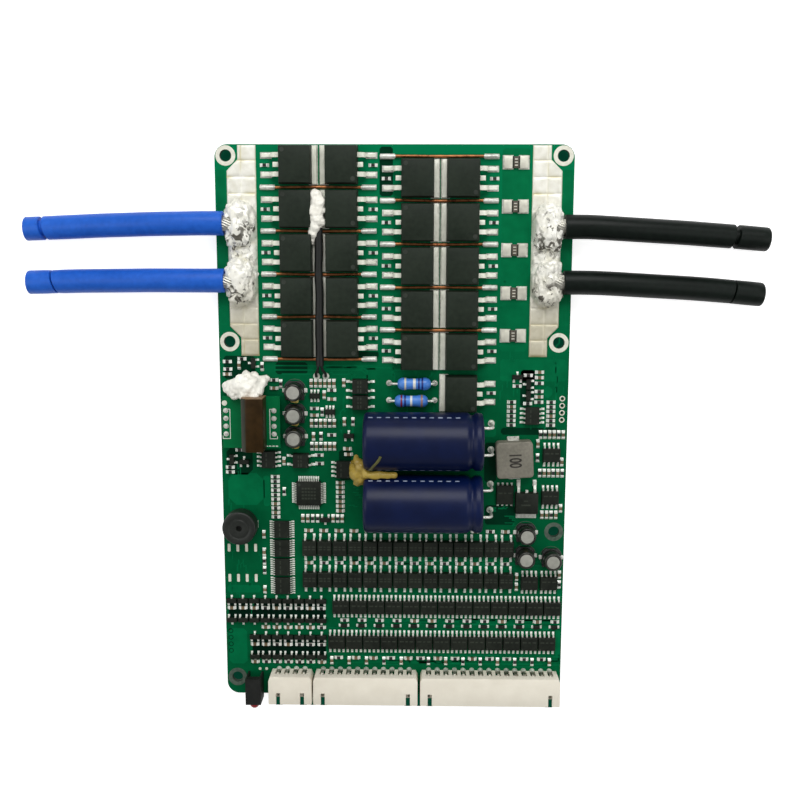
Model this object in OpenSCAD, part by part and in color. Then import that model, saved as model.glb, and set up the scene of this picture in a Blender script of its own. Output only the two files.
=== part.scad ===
// Battery management board: a power switching board for a multi-cell battery pack.
// Banks of power transistors, tinned bus pads with soldered cables, monitoring
// electronics and a row of side-entry sense connectors along the lower edge.
// X runs across the board, Y along it, Z up from the surface it stands on.

/* [Board] */
// Width of the board across its short side
board_w = 97; // [92:1:120]
// Length of the board along its long side
board_l = 156.5; // [150:0.5:195]
// Thickness of the board
board_t = 1.6; // [1:0.1:3.2]
// Corner radius of the board
corner_r = 3.5; // [1:0.5:6]
// Bore of the fixing holes
fix_bore = 3.2; // [2.5:0.1:4]
// Distance of the fixing holes from the board's edges
fix_inset = 3; // [2.8:0.1:4]
// Distance from the upper fixing holes down to the middle pair
fix_drop = 50.3; // [44:0.1:54]
// Length that trimmed wire ends stand out below the board
tail = 1.5; // [0.8:0.1:2.5]
// Clearance between a wire and the wall of its hole
wire_gap = 0.1; // [0.05:0.01:0.2]

/* [Bus pads] */
// Width of a tinned bus pad
bus_w = 8; // [6:0.5:8.5]
// Length of a tinned bus pad
bus_l = 57; // [54:0.5:62]
// Thickness of the solder on a bus pad
bus_t = 0.35; // [0.2:0.05:1]
// Clearance between a bus pad and the bore of a fixing hole
bus_clear = 1.6; // [1:0.1:2.2]
// Height of the solder mound over a cable end
mound_h = 5.3; // [4:0.1:7]
// Length of the solder mound along the pad
mound_l = 11.2; // [8:0.1:13]

/* [Power transistors] */
// Length of a transistor body along its leads
mos_l = 8.9; // [8:0.1:10]
// Width of a transistor body across its leads
mos_w = 10.2; // [8:0.1:10.6]
// Height of a transistor body
mos_h = 4.4; // [3:0.1:6]
// Length that the tab stands out of the body
tab_reach = 1.25; // [0.6:0.05:1.3]
// Thickness of the tab
tab_t = 1.27; // [0.8:0.01:1.6]
// Length of the leads out of the body
lead_reach = 4.9; // [4:0.1:5]
// Distance between the two long leads
lead_span = 5.08; // [4:0.01:6]
// Distance between the rows of transistors
row_pitch = 11.66; // [11.2:0.01:12.2]
// Wire gauge of the bare copper links between the rows
link_d = 1; // [0.6:0.1:1.1]

/* [Capacitors] */
// Diameter of the storage capacitors
cap_d = 16; // [10:0.5:16.5]
// Length of the storage capacitors
cap_l = 32.5; // [20:0.5:33]
// Gap between the two storage capacitors
cap_gap = 1.4; // [0.5:0.1:3]
// Distance between a storage capacitor's two leads
cap_lead_span = 7.5; // [5:0.5:7.5]
// Diameter of a storage capacitor's leads
cap_lead_d = 0.8; // [0.6:0.1:1]
// Diameter of the small can capacitors
can_d = 5; // [4:0.1:5.2]
// Height of the small can capacitors
can_h = 5.4; // [4:0.1:8]
// Side of a small can's square base
can_base = 5.3; // [5.2:0.1:5.8]

/* [Connectors] */
// Distance between connector pins
pin_pitch = 2.5; // [2.4:0.01:2.54]
// Width of the square pin wire
pin_w = 0.64; // [0.5:0.01:0.8]
// Height of a connector housing
shell_h = 6.1; // [5.6:0.1:8]
// Wall thickness of a connector housing
shell_wall = 0.9; // [0.6:0.05:1]
// Housing length beyond the outer pins at each end
shell_end = 2.45; // [2.2:0.01:2.45]
// Distance from the pin row to the housing's mouth
mouth_reach = 8.2; // [7:0.1:10]
// Distance that the comb stands out behind the pin row
comb_reach = 0.1; // [-0.1:0.1:1.5]
// Length of the comb's slots
comb_l = 1.6; // [0.8:0.1:1.7]
// Distance of the pin rows from the board's edge
pin_inset = 7.55; // [7:0.05:8.2]
// Depth of the socket from its mouth
socket_depth = 6.2; // [5:0.1:6.8]
// Width of the two slots in the upper wall
slot_w = 1.2; // [0.8:0.1:1.6]
// Length of the slots from the mouth
slot_l = 3.5; // [2:0.1:5]

/* [Cables] */
// Outer diameter of the cables
cable_d = 6.5; // [5:0.1:7]
// Diameter of the stranded conductor in a cable
core_d = 4.2; // [3:0.1:4.8]

/* [Smaller parts] */
// Side of the moulded inductor
coil_w = 10.2; // [8:0.1:11]
// Height of the moulded inductor
coil_h = 4; // [3:0.1:6]
// Diameter of the buzzer
buzzer_d = 9.5; // [8:0.1:9.6]
// Height of the buzzer
buzzer_h = 5.5; // [3:0.1:8]
// Diameter of the axial resistors
axial_d = 3.5; // [2:0.1:4]
// Length of the axial resistors
axial_l = 9.2; // [6:0.1:10]
// Width of the indicator holder
holder_w = 4.4; // [4:0.1:5]
// Height of the indicator holder
holder_h = 6; // [5:0.1:8]
// Diameter of the indicator lens
lens_d = 3; // [2.5:0.1:3.4]
// Distance that the lens stands out past the board's edge
lens_reach = 2.9; // [2:0.1:4]
// Length of the converter's upper board
conv_l = 14.6; // [12:0.1:14.6]
// Width of the converter's upper board
conv_w = 16; // [14:0.1:16.2]
// Gap between the main board and the converter's upper board
conv_gap = 1.6; // [1:0.1:3]
// Height of the converter's potted transformer
potted_h = 6.5; // [4:0.1:10]
// Diameter of the temperature probe's sleeve
probe_d = 2.2; // [1.5:0.1:2.4]

/* [Hidden] */
$fn = 48;
eps = 0.01;
board_top = tail + board_t;
y_shift = lens_reach / 2;
edge_x = board_w / 2;
edge_y = board_l / 2;
fix_x = edge_x - fix_inset;
fix_y = edge_y - fix_inset;
low_fix = [[-fix_x, 5 - edge_y], [fix_x, 49.4 - edge_y]];

// transistor columns: centre X, lead side (-1 left, 1 right), first row's Y, rows
column_names = ["a", "b", "c", "d"];
column_x = [-26.5, -14.1, 6.4, 18.65];
column_side = [-1, 1, -1, 1];
bank_top = [edge_y - 5.55, edge_y - 5.55, edge_y - 9.05, edge_y - 9.05];
column_rows = [5, 5, 5, 6];
shunt_x = 32.8;

// storage capacitors lie side by side along X, leads to the right
cap_z = cap_d / 2 + 0.1;
cap_right = 24.5;
cap_mid_y = -10.1;
cap_lead_x = cap_right + 2.8;
cap_ys = [cap_mid_y + (cap_d + cap_gap) / 2, cap_mid_y - (cap_d + cap_gap) / 2];
can_places = [[-27.6, 11.4], [-27.6, 4.9], [-27.6, -1.6], [37.5, -29], [37.4, -35.8], [44.9, -36.3]];

// connectors: number of pins and centre X
conn_ways = [4, 11, 15];
conn_x = [-29.5, -7.9, 27.75];
pin_y = pin_inset - edge_y;
mouth_y = pin_y - mouth_reach;
pin_z = shell_h / 2 + 0.2;

// axial resistors, converter, probe, buzzer, indicator
axial_ys = [13.6, 8.8];
axial_xs = [5.7, 4.9];
axial_lead_d = 0.7;
axial_holes = [-1.3, 11.4];
axial_z = axial_d / 2 + 0.15;
conv_mid = [-39.5, 2.7];
conv_t = 1;
conv_pin_x = [-46.6, -33.2];
conv_pin_pitch = 2.2;
potted_w = 6.2;
probe_x = -20.3;
probe_z = tab_t + probe_d / 2 + 0.1;
probe_end = [[-21.5, 15.4], [-18.9, 15.4]];
probe_lead_d = 0.8;
buzzer_at = [-43.2, -27.1];
holder_overhang = 0.9;
holder_front = [-40.1, -edge_y - holder_overhang];
holder_l = 7.7;
lens_z = holder_h - 2.6;
led_lead_x = 1.27;
led_lead_y = 5;
led_lead_w = 0.5;
coil_at = [33.7, -7.4];
coil_turn = 3;

// driver and monitor chip rows
opto_rows = [-33.8, -43.1];
opto_count = 14;
opto_x = -23.9;
opto_pitch = 4.31;
driver_rows = [[-15.1, -51.4], [-16.4, -62]];
driver_count = 13;
driver_pitch = 5.05;
monitor_at = [-31.8, -28.6];
monitor_pitch = 5.55;
micro_at = [-24, -17.9];
pair_x = -20.8;
pair_pitch = 3.235;
pair_rows = [[9, -49.9, -55.7], [7, -60.8, -66.8]];

// cable routes, from the solder joint outwards, in the model's own frame
blue_upper_route = [[-45.8, 58.6, 6.7], [-52, 58.6, 6.7], [-58, 58.5, 6.5], [-65, 58.4, 6], [-72, 58.2, 5.3],
    [-79, 58, 4.6], [-86, 57.7, 4], [-93, 57.4, 3.5], [-100.4, 57.1, 3.25]];
blue_lower_route = [[-45.8, 43.3, 6.7], [-52, 43.3, 6.7], [-58, 43.3, 6.5], [-65, 43.3, 6], [-72, 43.2, 5.3],
    [-79, 43.1, 4.6], [-86, 43, 4], [-93, 42.8, 3.5], [-100.4, 42.6, 3.25]];
black_upper_route = [[45.8, 57.8, 6.7], [52, 57.8, 6.7], [58, 57.5, 6.5], [65, 57.1, 6], [72, 56.7, 5.3],
    [79, 56.3, 4.6], [86, 55.8, 4], [93, 55.3, 3.5], [101.2, 54.6, 3.25]];
black_lower_route = [[45.8, 43, 6.7], [52, 43, 6.7], [58, 42.8, 6.5], [65, 42.4, 6], [72, 42, 5.3],
    [79, 41.6, 4.6], [86, 41.1, 4], [93, 40.5, 3.5], [100.4, 39.8, 3.25]];
joint_z = blue_upper_route[0][2];
strip_gap = 0.5;
bus_x = black_upper_route[0][0] - strip_gap - bus_w / 2;
bus_y = edge_y - 0.25 - bus_l / 2;

mosfet_names = [for (c = [0:3]) for (r = [1:column_rows[c]]) str("mosfet_", column_names[c], r)];

// ---------------------------------------------------------------- shared forms

// Moves its children to the top face of the board, in coordinates from the board's middle
module on_board() {
    translate([0, y_shift, board_top]) children();
}

// Block centred in X and Y that stands on Z = 0
module block(size) {
    translate([-size[0] / 2, -size[1] / 2, 0]) cube(size);
}

// Profile in the YZ plane, extruded along X and centred on it
module across_x(length) {
    rotate([90, 0, 90]) translate([0, 0, -length / 2]) linear_extrude(length) children();
}

// Profile in the XZ plane, extruded along Y and centred on it
module across_y(length) {
    rotate([90, 0, 0]) translate([0, 0, -length / 2]) linear_extrude(length) children();
}

// Round rod between two points
module rod(from, to, d) {
    run = to - from;
    span = norm(run);
    translate(from)
        rotate([0, acos(run[2] / span), atan2(run[1], run[0])])
            cylinder(d = d, h = span, $fn = 24);
}

// Wire that leaves along X, turns down and passes through the board to its trimmed end
module bent_wire(start_x, end_x, z, d, bend) {
    dir = sign(end_x - start_x);
    translate([start_x, 0, z]) rotate([0, 90 * dir, 0])
        cylinder(d = d, h = abs(end_x - start_x) - bend, $fn = 24);
    translate([end_x - dir * bend, 0, z - bend]) rotate([90, dir > 0 ? 0 : 90, 0])
        rotate_extrude(angle = 90, $fn = 24) translate([bend, 0]) circle(d = d, $fn = 24);
    translate([end_x, 0, -board_top]) cylinder(d = d, h = z - bend + board_top, $fn = 24);
}

// Body with drafted sides: the two trapezoid profiles cut each other
module drafted_body(size, draft, seam, foot) {
    intersection() {
        across_x(size[0]) polygon([[-size[1] / 2 + draft, foot], [-size[1] / 2, seam],
            [-size[1] / 2 + draft, size[2]], [size[1] / 2 - draft, size[2]],
            [size[1] / 2, seam], [size[1] / 2 - draft, foot]]);
        across_y(size[1]) polygon([[-size[0] / 2 + draft, foot], [-size[0] / 2, seam],
            [-size[0] / 2 + draft, size[2]], [size[0] / 2 - draft, size[2]],
            [size[0] / 2, seam], [size[0] / 2 - draft, foot]]);
    }
}

// Gull-wing lead that leaves a body at Y = from, steps down and ends on its foot at Y = to
module gull_lead(from, to, z, w, t) {
    knee = from + (to - from) * 0.3;
    heel = from + (to - from) * 0.5;
    across_x(w) polygon([[from - 0.2, z], [knee + t / 2, z], [heel + t, t], [to, t], [to, 0],
        [heel, 0], [knee, z - t], [from - 0.2, z - t]]);
}

// Chip package with gull-wing leads along its two long sides
module flat_pack(per_side, pitch, body, span, lead_w) {
    drafted_body(body, 0.08, body[2] / 2, 0.08);
    for (side = [0, 180], i = [0:per_side - 1])
        rotate([0, 0, side]) translate([(i - (per_side - 1) / 2) * pitch, 0, 0])
            gull_lead(body[1] / 2, span / 2, body[2] / 2 + 0.1, lead_w, 0.2);
}

// Three-lead transistor: one lead on +Y, two on -Y
module small_transistor() {
    drafted_body([2.9, 1.3, 1], 0.06, 0.5, 0.06);
    gull_lead(0.65, 1.2, 0.6, 0.4, 0.15);
    for (x = [-0.95, 0.95]) translate([x, 0, 0]) rotate([0, 0, 180]) gull_lead(0.65, 1.2, 0.6, 0.4, 0.15);
}

// Chip resistor or capacitor with its two end caps
module chip(l = 1.6, w = 0.85, h = 0.5) {
    block([l - 0.3, w - 0.06, h - 0.04]);
    for (side = [-1, 1]) translate([side * (l / 2 - 0.17), 0, 0]) block([0.34, w, h]);
}

module chip_row(count, at, pitch, turn) {
    for (i = [0:count - 1]) translate([at[0] + i * pitch, at[1], 0]) rotate([0, 0, turn]) chip();
}

module chip_column(count, at, pitch, turn) {
    for (i = [0:count - 1]) translate([at[0], at[1] - i * pitch, 0]) rotate([0, 0, turn]) chip();
}

// ---------------------------------------------------------------- the board

function link_y(c, r) = bank_top[c] - (r + 0.5) * row_pitch;
function conv_pin_y(i) = conv_mid[1] + (i - 1.5) * conv_pin_pitch;

module board_outline() {
    square([board_w - 2 * corner_r, board_l], center = true);
    square([board_w, board_l - 2 * corner_r], center = true);
    for (x = [-1, 1], y = [-1, 1])
        translate([x * (edge_x - corner_r), y * (edge_y - corner_r)]) circle(corner_r);
}

module wire_hole(d) {
    circle(d = d + 2 * wire_gap, $fn = 24);
}

module circuit_board() color("seagreen") {
    translate([0, y_shift, tail]) linear_extrude(board_t) difference() {
        board_outline();
        for (x = [-fix_x, fix_x], y = [fix_y, fix_y - fix_drop]) translate([x, y]) circle(d = fix_bore);
        for (p = low_fix) translate(p) circle(d = fix_bore);
        for (c = [0:2], i = [0:conn_ways[c] - 1])
            translate([conn_x[c] + (i - (conn_ways[c] - 1) / 2) * pin_pitch, pin_y])
                wire_hole(pin_w * sqrt(2));
        for (y = cap_ys, s = [-0.5, 0.5])
            translate([cap_lead_x, y + s * cap_lead_span]) wire_hole(cap_lead_d);
        for (x = axial_holes, y = axial_ys) translate([x, y]) wire_hole(axial_lead_d);
        for (x = conv_pin_x, i = [0:3]) translate([x, conv_pin_y(i)]) wire_hole(pin_w * sqrt(2));
        for (p = probe_end) translate(p) wire_hole(probe_lead_d);
        for (s = [-1, 1])
            translate([holder_front[0] + s * led_lead_x, holder_front[1] + led_lead_y])
                wire_hole(led_lead_w * sqrt(2));
        for (i = [0:3]) translate([edge_x - 1.6, 9.4 - 2 * i]) circle(d = 1, $fn = 24);
        for (i = [0:3]) translate([1.3 - edge_x, -59.2 - 2 * i]) circle(d = 1, $fn = 24);
    }
}

// Solder-covered pad, narrower beside the fixing holes, with a mound over each cable end
module bus_pad(side, joint_ys) {
    w = bus_w / 2;
    l = bus_l / 2;
    low_cut = 5.2;
    high_cut = 3.8;
    notch = bus_x + w - (fix_x - fix_bore / 2 - bus_clear);
    outer = notch > 0
        ? [[w - notch, -l], [w - notch, -l + low_cut], [w, -l + low_cut + notch],
           [w, l - high_cut - notch], [w - notch, l - high_cut], [w - notch, l]]
        : [[w, -l], [w, l]];
    on_board() {
        linear_extrude(bus_t) translate([side * bus_x, bus_y]) scale([side, 1])
            polygon(concat([[-w, -l]], outer, [[-w, l]]));
        for (y = joint_ys) translate([side * bus_x, y - y_shift, bus_t - eps]) solder_mound();
    }
}

// Pillow of solder: two crossed barrels cut each other, and the cable's core passes into it
module solder_mound() {
    across_r = (pow(bus_w / 2, 2) + pow(mound_h, 2)) / (2 * mound_h);
    along_r = (pow(mound_l / 2, 2) + pow(mound_h, 2)) / (2 * mound_h);
    difference() {
        intersection() {
            translate([0, 0, mound_h - across_r]) rotate([90, 0, 0])
                cylinder(r = across_r, h = mound_l, center = true);
            translate([0, 0, mound_h - along_r]) rotate([0, 90, 0])
                cylinder(r = along_r, h = bus_w, center = true);
            block([bus_w, mound_l, mound_h + 1]);
        }
        translate([0, 0, joint_z - board_top - bus_t]) rotate([0, 90, 0])
            cylinder(d = core_d + 2 * wire_gap, h = bus_w + 2, center = true);
    }
}

module bus_pad_left() color("gainsboro") bus_pad(-1, [blue_upper_route[0][1], blue_lower_route[0][1]]);
module bus_pad_right() color("gainsboro") bus_pad(1, [black_upper_route[0][1], black_lower_route[0][1]]);

// ---------------------------------------------------------------- power stage

// Surface-mount power transistor with its leads towards -X and its tab towards +X
module mosfet() {
    color("dimgray") drafted_body([mos_l, mos_w, mos_h], 0.35, mos_h * 0.55, 0.1);
    color("silver") {
        translate([mos_l / 2 - 1, -mos_w / 2 + 0.1, 0]) cube([1 + tab_reach, mos_w - 0.2, tab_t]);
        for (y = [-lead_span / 2, lead_span / 2]) translate([0, y, 0]) mosfet_lead();
        translate([-mos_l / 2 - 1.5, -0.65, mos_h * 0.55 - 0.3]) cube([1.7, 1.3, 0.6]);
    }
}

// Lead with a broad shoulder at the body and a narrow foot on the board
module mosfet_lead() {
    root = -mos_l / 2;
    z = mos_h * 0.55 + 0.3;
    t = 0.5;
    shoulder = root - lead_reach * 0.4;
    across_y(1.3) polygon([[root + 0.2, z], [root - 1.2, z], [shoulder - 0.2, 1.3], [shoulder - 0.2, 0.8],
        [root - 1.1, z - t - 0.1], [root + 0.2, z - t - 0.1]]);
    across_y(0.8) polygon([[shoulder, 1.6], [root - lead_reach * 0.58, t], [root - lead_reach, t],
        [root - lead_reach, 0], [root - lead_reach * 0.5, 0], [shoulder, 0.9]]);
}

module mosfet_at(c, r) {
    on_board() translate([column_x[c], bank_top[c] - (r - 1) * row_pitch, 0])
        rotate([0, 0, column_side[c] > 0 ? 180 : 0]) mosfet();
}

// Low-value power resistors in the current path
module shunt_resistors() color("darkslategray") {
    on_board() for (i = [0:4])
        translate([shunt_x, bank_top[0] + 0.8 - i * row_pitch, 0]) chip(6.6, 3.4, 0.7);
}

// Bare copper wires that lie in the gaps between the transistor rows
module copper_links() color("peru") {
    on_board() {
        for (r = [0:4]) translate([0, link_y(0, r), link_d / 2 + 0.1]) rotate([0, 90, 0])
            translate([0, 0, -36]) cylinder(d = link_d, h = 31, $fn = 24);
        for (r = [-1:3]) translate([0, link_y(2, r), link_d / 2 + 0.1]) rotate([0, 90, 0])
            translate([0, 0, -3.5]) cylinder(d = link_d, h = 31.5, $fn = 24);
    }
}

// ---------------------------------------------------------------- capacitors

// Aluminium can in a shrunk sleeve: rolled edge, crimp groove and rubber bung, turned about X
module storage_capacitor(y) {
    r = cap_d / 2;
    on_board() translate([0, y, 0]) {
        color("midnightblue") translate([cap_right, 0, cap_z]) rotate([0, -90, 0]) rotate_extrude() polygon([
            [0, 0.7], [r - 2.2, 0.7], [r - 1.9, 0.2], [r - 1.3, 0], [r - 0.5, 0.1], [r - 0.1, 0.6],
            [r - 0.1, 2], [r - 0.7, 2.7], [r - 0.75, 3.3], [r - 0.1, 4.1], [r, 4.6],
            [r, cap_l - 0.9], [r - 0.35, cap_l - 0.3], [r - 1.1, cap_l], [r - 1.8, cap_l - 0.4],
            [0, cap_l - 0.4]]);
        color("silver") for (s = [-0.5, 0.5]) translate([0, s * cap_lead_span, 0])
            bent_wire(cap_right - 0.7, cap_lead_x, cap_z, cap_lead_d, 1.2);
    }
}

module storage_capacitor_upper() storage_capacitor(cap_ys[0]);
module storage_capacitor_lower() storage_capacitor(cap_ys[1]);

// Cans of the small capacitors, with the curled waist above the base
module can_capacitors() color("silver") {
    r = can_d / 2;
    on_board() for (p = can_places) translate([p[0], p[1], 0.9]) rotate_extrude() polygon([
        [0, 0], [r - 0.1, 0], [r, 0.15], [r, 0.5], [r - 0.25, 0.75], [r - 0.25, 1], [r, 1.3],
        [r, can_h - 1.4], [r - 0.1, can_h - 1.15], [r - 0.4, can_h - 0.95], [r - 0.55, can_h - 0.95],
        [r - 0.6, can_h - 1], [0, can_h - 1]]);
}

// Black bases, with two corners cut off and a terminal strip at each side
module can_bases() color("black") {
    h = can_base / 2;
    on_board() for (p = can_places) translate([p[0], p[1], 0]) {
        difference() {
            translate([0, 0, 0.1]) linear_extrude(1.3)
                polygon([[-h, -h], [h, -h], [h, h - 0.9], [h - 0.9, h], [0.9 - h, h], [-h, h - 0.9]]);
            translate([0, 0, 0.9]) cylinder(d = can_d + 2 * eps, h = 2);
        }
        for (s = [-1, 1]) translate([s * (h - 0.5), 0, 0]) block([2, 0.7, 0.3]);
    }
}

// ---------------------------------------------------------------- inductor, converter, buzzer

// Pressed-powder block with clipped corners and two folded terminals
module inductor() {
    h = coil_w / 2;
    c = 0.9;
    on_board() translate([coil_at[0], coil_at[1], 0]) rotate([0, 0, coil_turn]) {
        color("dimgray") translate([0, 0, 0.15]) intersection() {
            linear_extrude(coil_h - 0.15) polygon([[c - h, -h], [h - c, -h], [h, c - h], [h, h - c],
                [h - c, h], [c - h, h], [-h, h - c], [-h, c - h]]);
            across_x(coil_w) polygon([[-h, 0], [-h, coil_h - 0.5], [0.3 - h, coil_h - 0.15],
                [h - 0.3, coil_h - 0.15], [h, coil_h - 0.5], [h, 0]]);
        }
        color("silver") for (s = [-1, 1]) {
            translate([0, s * (h - 1), 0]) block([3, 2, 0.2]);
            translate([0, s * (h + 0.1), 0]) block([3, 0.22, 1.4]);
        }
    }
}

module converter_board() color("green") {
    on_board() translate([conv_mid[0], conv_mid[1], conv_gap]) linear_extrude(conv_t) difference() {
        square([conv_w, conv_l], center = true);
        for (x = conv_pin_x, i = [0:3]) translate([x - conv_mid[0], conv_pin_y(i) - conv_mid[1]])
            wire_hole(pin_w * sqrt(2));
    }
}

// Potted block with one long edge bevelled and rounded ends
module converter_transformer() color("saddlebrown") {
    w = potted_w / 2;
    l = conv_l + 0.4;
    on_board() translate([conv_mid[0] + 1.1, conv_mid[1] + 0.2, conv_gap + conv_t]) intersection() {
        across_y(l) polygon([[-w, 0], [-w, potted_h - 2.2], [1.4 - w, potted_h], [w - 0.3, potted_h],
            [w, potted_h - 0.3], [w, 0]]);
        across_x(potted_w) polygon([[-l / 2, 0], [-l / 2, potted_h - 0.6], [0.6 - l / 2, potted_h],
            [l / 2 - 0.6, potted_h], [l / 2, potted_h - 0.6], [l / 2, 0]]);
    }
}

// Two four-pin headers: a spacer strip with square pins through both boards
module converter_headers() {
    on_board() for (x = conv_pin_x) {
        color("black") translate([x, conv_mid[1], 0]) block([2.2, 4 * conv_pin_pitch, conv_gap]);
        color("silver") for (i = [0:3]) translate([x, conv_pin_y(i), -board_top])
            block([pin_w, pin_w, board_top + conv_gap + conv_t + 0.6]);
    }
}

// Round sounder: domed rim, shallow ring groove and a central sound hole
module buzzer() color("black") {
    r = buzzer_d / 2;
    h = buzzer_h;
    on_board() {
        translate([buzzer_at[0], buzzer_at[1], 0.1]) rotate_extrude() polygon([
            [0.8, h - 2], [0.8, h - 0.1], [1.2, h - 0.1], [2.4, h - 0.1], [2.5, h - 0.25], [3, h - 0.25],
            [3.1, h - 0.1], [r - 0.5, h - 0.1], [r - 0.1, h - 0.35], [r, h - 0.8], [r, 0.9],
            [r - 0.3, 0.6], [r - 0.3, 0], [0, 0], [0, h - 2]]);
        for (s = [-1, 1]) translate([buzzer_at[0] + s * (r - 0.9), buzzer_at[1], 0]) block([1.6, 2, 0.3]);
    }
}

// ---------------------------------------------------------------- connectors

// Side-entry housing: socket open at the mouth, two slots in its upper wall, and a comb that
// parts the pins where they bend
module connector_shell(ways, x) {
    l = (ways - 1) * pin_pitch + 2 * shell_end;
    depth = mouth_reach + comb_reach;
    on_board() translate([x, mouth_y, 0]) difference() {
        linear_extrude(shell_h) polygon([[-l / 2, 0], [l / 2, 0], [l / 2, depth - 2.6], [l / 2 - 1, depth],
            [1 - l / 2, depth], [-l / 2, depth - 2.6]]);
        translate([shell_wall - l / 2, -eps, shell_wall])
            cube([l - 2 * shell_wall, socket_depth + eps, shell_h - 2 * shell_wall]);
        for (s = [-1, 1]) translate([s * (l / 2 - shell_end - 0.3) - slot_w / 2, -eps, shell_h / 2])
            cube([slot_w, slot_l, shell_h]);
        for (i = [0:ways - 1]) translate([(i - (ways - 1) / 2) * pin_pitch, 0, 0]) {
            translate([-0.75, depth - comb_l, -eps]) cube([1.5, comb_l + 1, shell_h + 1]);
            translate([-pin_w / 2 - wire_gap, socket_depth - 1, pin_z - pin_w / 2 - wire_gap])
                cube([pin_w + 2 * wire_gap, mouth_reach - socket_depth + 1, pin_w + 2 * wire_gap]);
        }
    }
}

// Square pins: straight in the socket, bent down behind it and through the board
module connector_pins(ways, x) {
    h = pin_w / 2;
    tip = 1.4 - mouth_reach;
    on_board() for (i = [0:ways - 1])
        translate([x + (i - (ways - 1) / 2) * pin_pitch, pin_y, 0]) across_x(pin_w) polygon([
            [tip, pin_z + 0.2], [tip, pin_z - 0.2], [tip + 0.4, pin_z - h], [-h, pin_z - h],
            [-h, -board_top], [h, -board_top], [h, pin_z], [0, pin_z + h], [tip + 0.4, pin_z + h]]);
}

module connector_shell_4() color("ivory") connector_shell(conn_ways[0], conn_x[0]);
module connector_shell_11() color("ivory") connector_shell(conn_ways[1], conn_x[1]);
module connector_shell_15() color("ivory") connector_shell(conn_ways[2], conn_x[2]);
module connector_pins_4() color("silver") connector_pins(conn_ways[0], conn_x[0]);
module connector_pins_11() color("silver") connector_pins(conn_ways[1], conn_x[1]);
module connector_pins_15() color("silver") connector_pins(conn_ways[2], conn_x[2]);

// ---------------------------------------------------------------- indicator

// Right-angle holder: a block bored for the lens, open behind for the bent leads
module indicator_holder() color("black") {
    on_board() translate([holder_front[0], holder_front[1], 0]) difference() {
        translate([0, holder_l / 2, 0]) block([holder_w, holder_l, holder_h]);
        translate([0, -eps, lens_z]) rotate([-90, 0, 0]) cylinder(d = lens_d + 2 * wire_gap, h = 3.6);
        translate([0, 5.5, -eps]) block([3.4, 4.4, lens_z + 0.5]);
    }
}

// Lens with a domed nose, and two square leads that bend down through the board
module indicator_led() {
    nose = lens_reach - holder_overhang - lens_d / 2;
    on_board() translate([holder_front[0], holder_front[1], 0]) {
        color("firebrick") translate([0, 0, lens_z]) {
            translate([0, 3.4, 0]) rotate([90, 0, 0]) cylinder(d = lens_d, h = 3.4 + nose);
            translate([0, -nose, 0]) sphere(d = lens_d);
        }
        color("silver") for (s = [-1, 1]) translate([s * led_lead_x, led_lead_y, 0]) {
            translate([s * -0.35, -0.8, lens_z - led_lead_w / 2]) block([led_lead_w, 2, led_lead_w]);
            translate([0, 0, -board_top])
                block([led_lead_w, led_lead_w, board_top + lens_z + led_lead_w / 2]);
        }
    }
}

// ---------------------------------------------------------------- cables

// Ring of points around one station of a route that runs mainly along X
function ring_at(route, i, r, sides) =
    let (last = len(route) - 1,
         run = route[min(i + 1, last)] - route[max(i - 1, 0)],
         along = run / norm(run),
         side = cross([0, 0, 1], along) / norm(cross([0, 0, 1], along)),
         up = cross(along, side))
    [for (k = [0:sides - 1]) route[i] + r * (cos(360 * k / sides) * side + sin(360 * k / sides) * up)];

module cable(route, sides = 12) {
    rings = [for (i = [0:len(route) - 1]) ring_at(route, i, cable_d / 2, sides)];
    points = [for (ring = rings) for (p = ring) p];
    last = (len(route) - 1) * sides;
    polyhedron(points, concat(
        [[for (k = [0:sides - 1]) k]],
        [for (i = [0:len(route) - 2]) for (k = [0:sides - 1])
            [i * sides + k, (i + 1) * sides + k, (i + 1) * sides + (k + 1) % sides,
                i * sides + (k + 1) % sides]],
        [[for (k = [sides - 1:-1:0]) last + k]]));
}

module cable_blue_upper() color("royalblue") cable(blue_upper_route);
module cable_blue_lower() color("royalblue") cable(blue_lower_route);
module cable_black_upper() color("black") cable(black_upper_route);
module cable_black_lower() color("black") cable(black_lower_route);

// Stranded cores between the cut insulation and the far side of the solder mounds
module cable_cores() color("silver") {
    for (route = [blue_upper_route, blue_lower_route, black_upper_route, black_lower_route]) {
        side = sign(route[0][0]);
        inner = bus_x - bus_w / 2 + 1.5;
        translate([side * inner, route[0][1], route[0][2]]) rotate([0, 90 * side, 0])
            cylinder(d = core_d, h = abs(route[0][0]) - inner);
    }
}

// ---------------------------------------------------------------- resistors and chips

// Coated resistor bodies with swollen ends, on wires bent down through the board
module axial_resistors() {
    r = axial_d / 2;
    l = axial_l;
    on_board() for (i = [0:1]) translate([0, axial_ys[i], 0]) {
        color("cornflowerblue") translate([axial_xs[i] - l / 2, 0, axial_z]) rotate([0, 90, 0])
            rotate_extrude() polygon([[0, 0], [0.5, 0], [r - 0.6, 0.5], [r, 1.4], [r, 2.1], [r - 0.25, 3],
                [r - 0.25, l - 3], [r, l - 2.1], [r, l - 1.4], [r - 0.6, l - 0.5], [0.5, l], [0, l]]);
        color("silver") {
            bent_wire(axial_xs[i] + l / 2 - 0.2, axial_holes[1], axial_z, axial_lead_d, 0.6);
            bent_wire(axial_xs[i] - l / 2 + 0.2, axial_holes[0], axial_z, axial_lead_d, 0.6);
        }
    }
}

module microcontroller() color("dimgray") {
    on_board() translate([micro_at[0], micro_at[1], 0]) {
        drafted_body([7, 7, 1.5], 0.1, 0.75, 0.1);
        for (turn = [0:90:270], i = [0:11]) rotate([0, 0, turn]) translate([(i - 5.5) * 0.5, 0, 0])
            gull_lead(3.5, 4.5, 0.85, 0.22, 0.16);
    }
}

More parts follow.
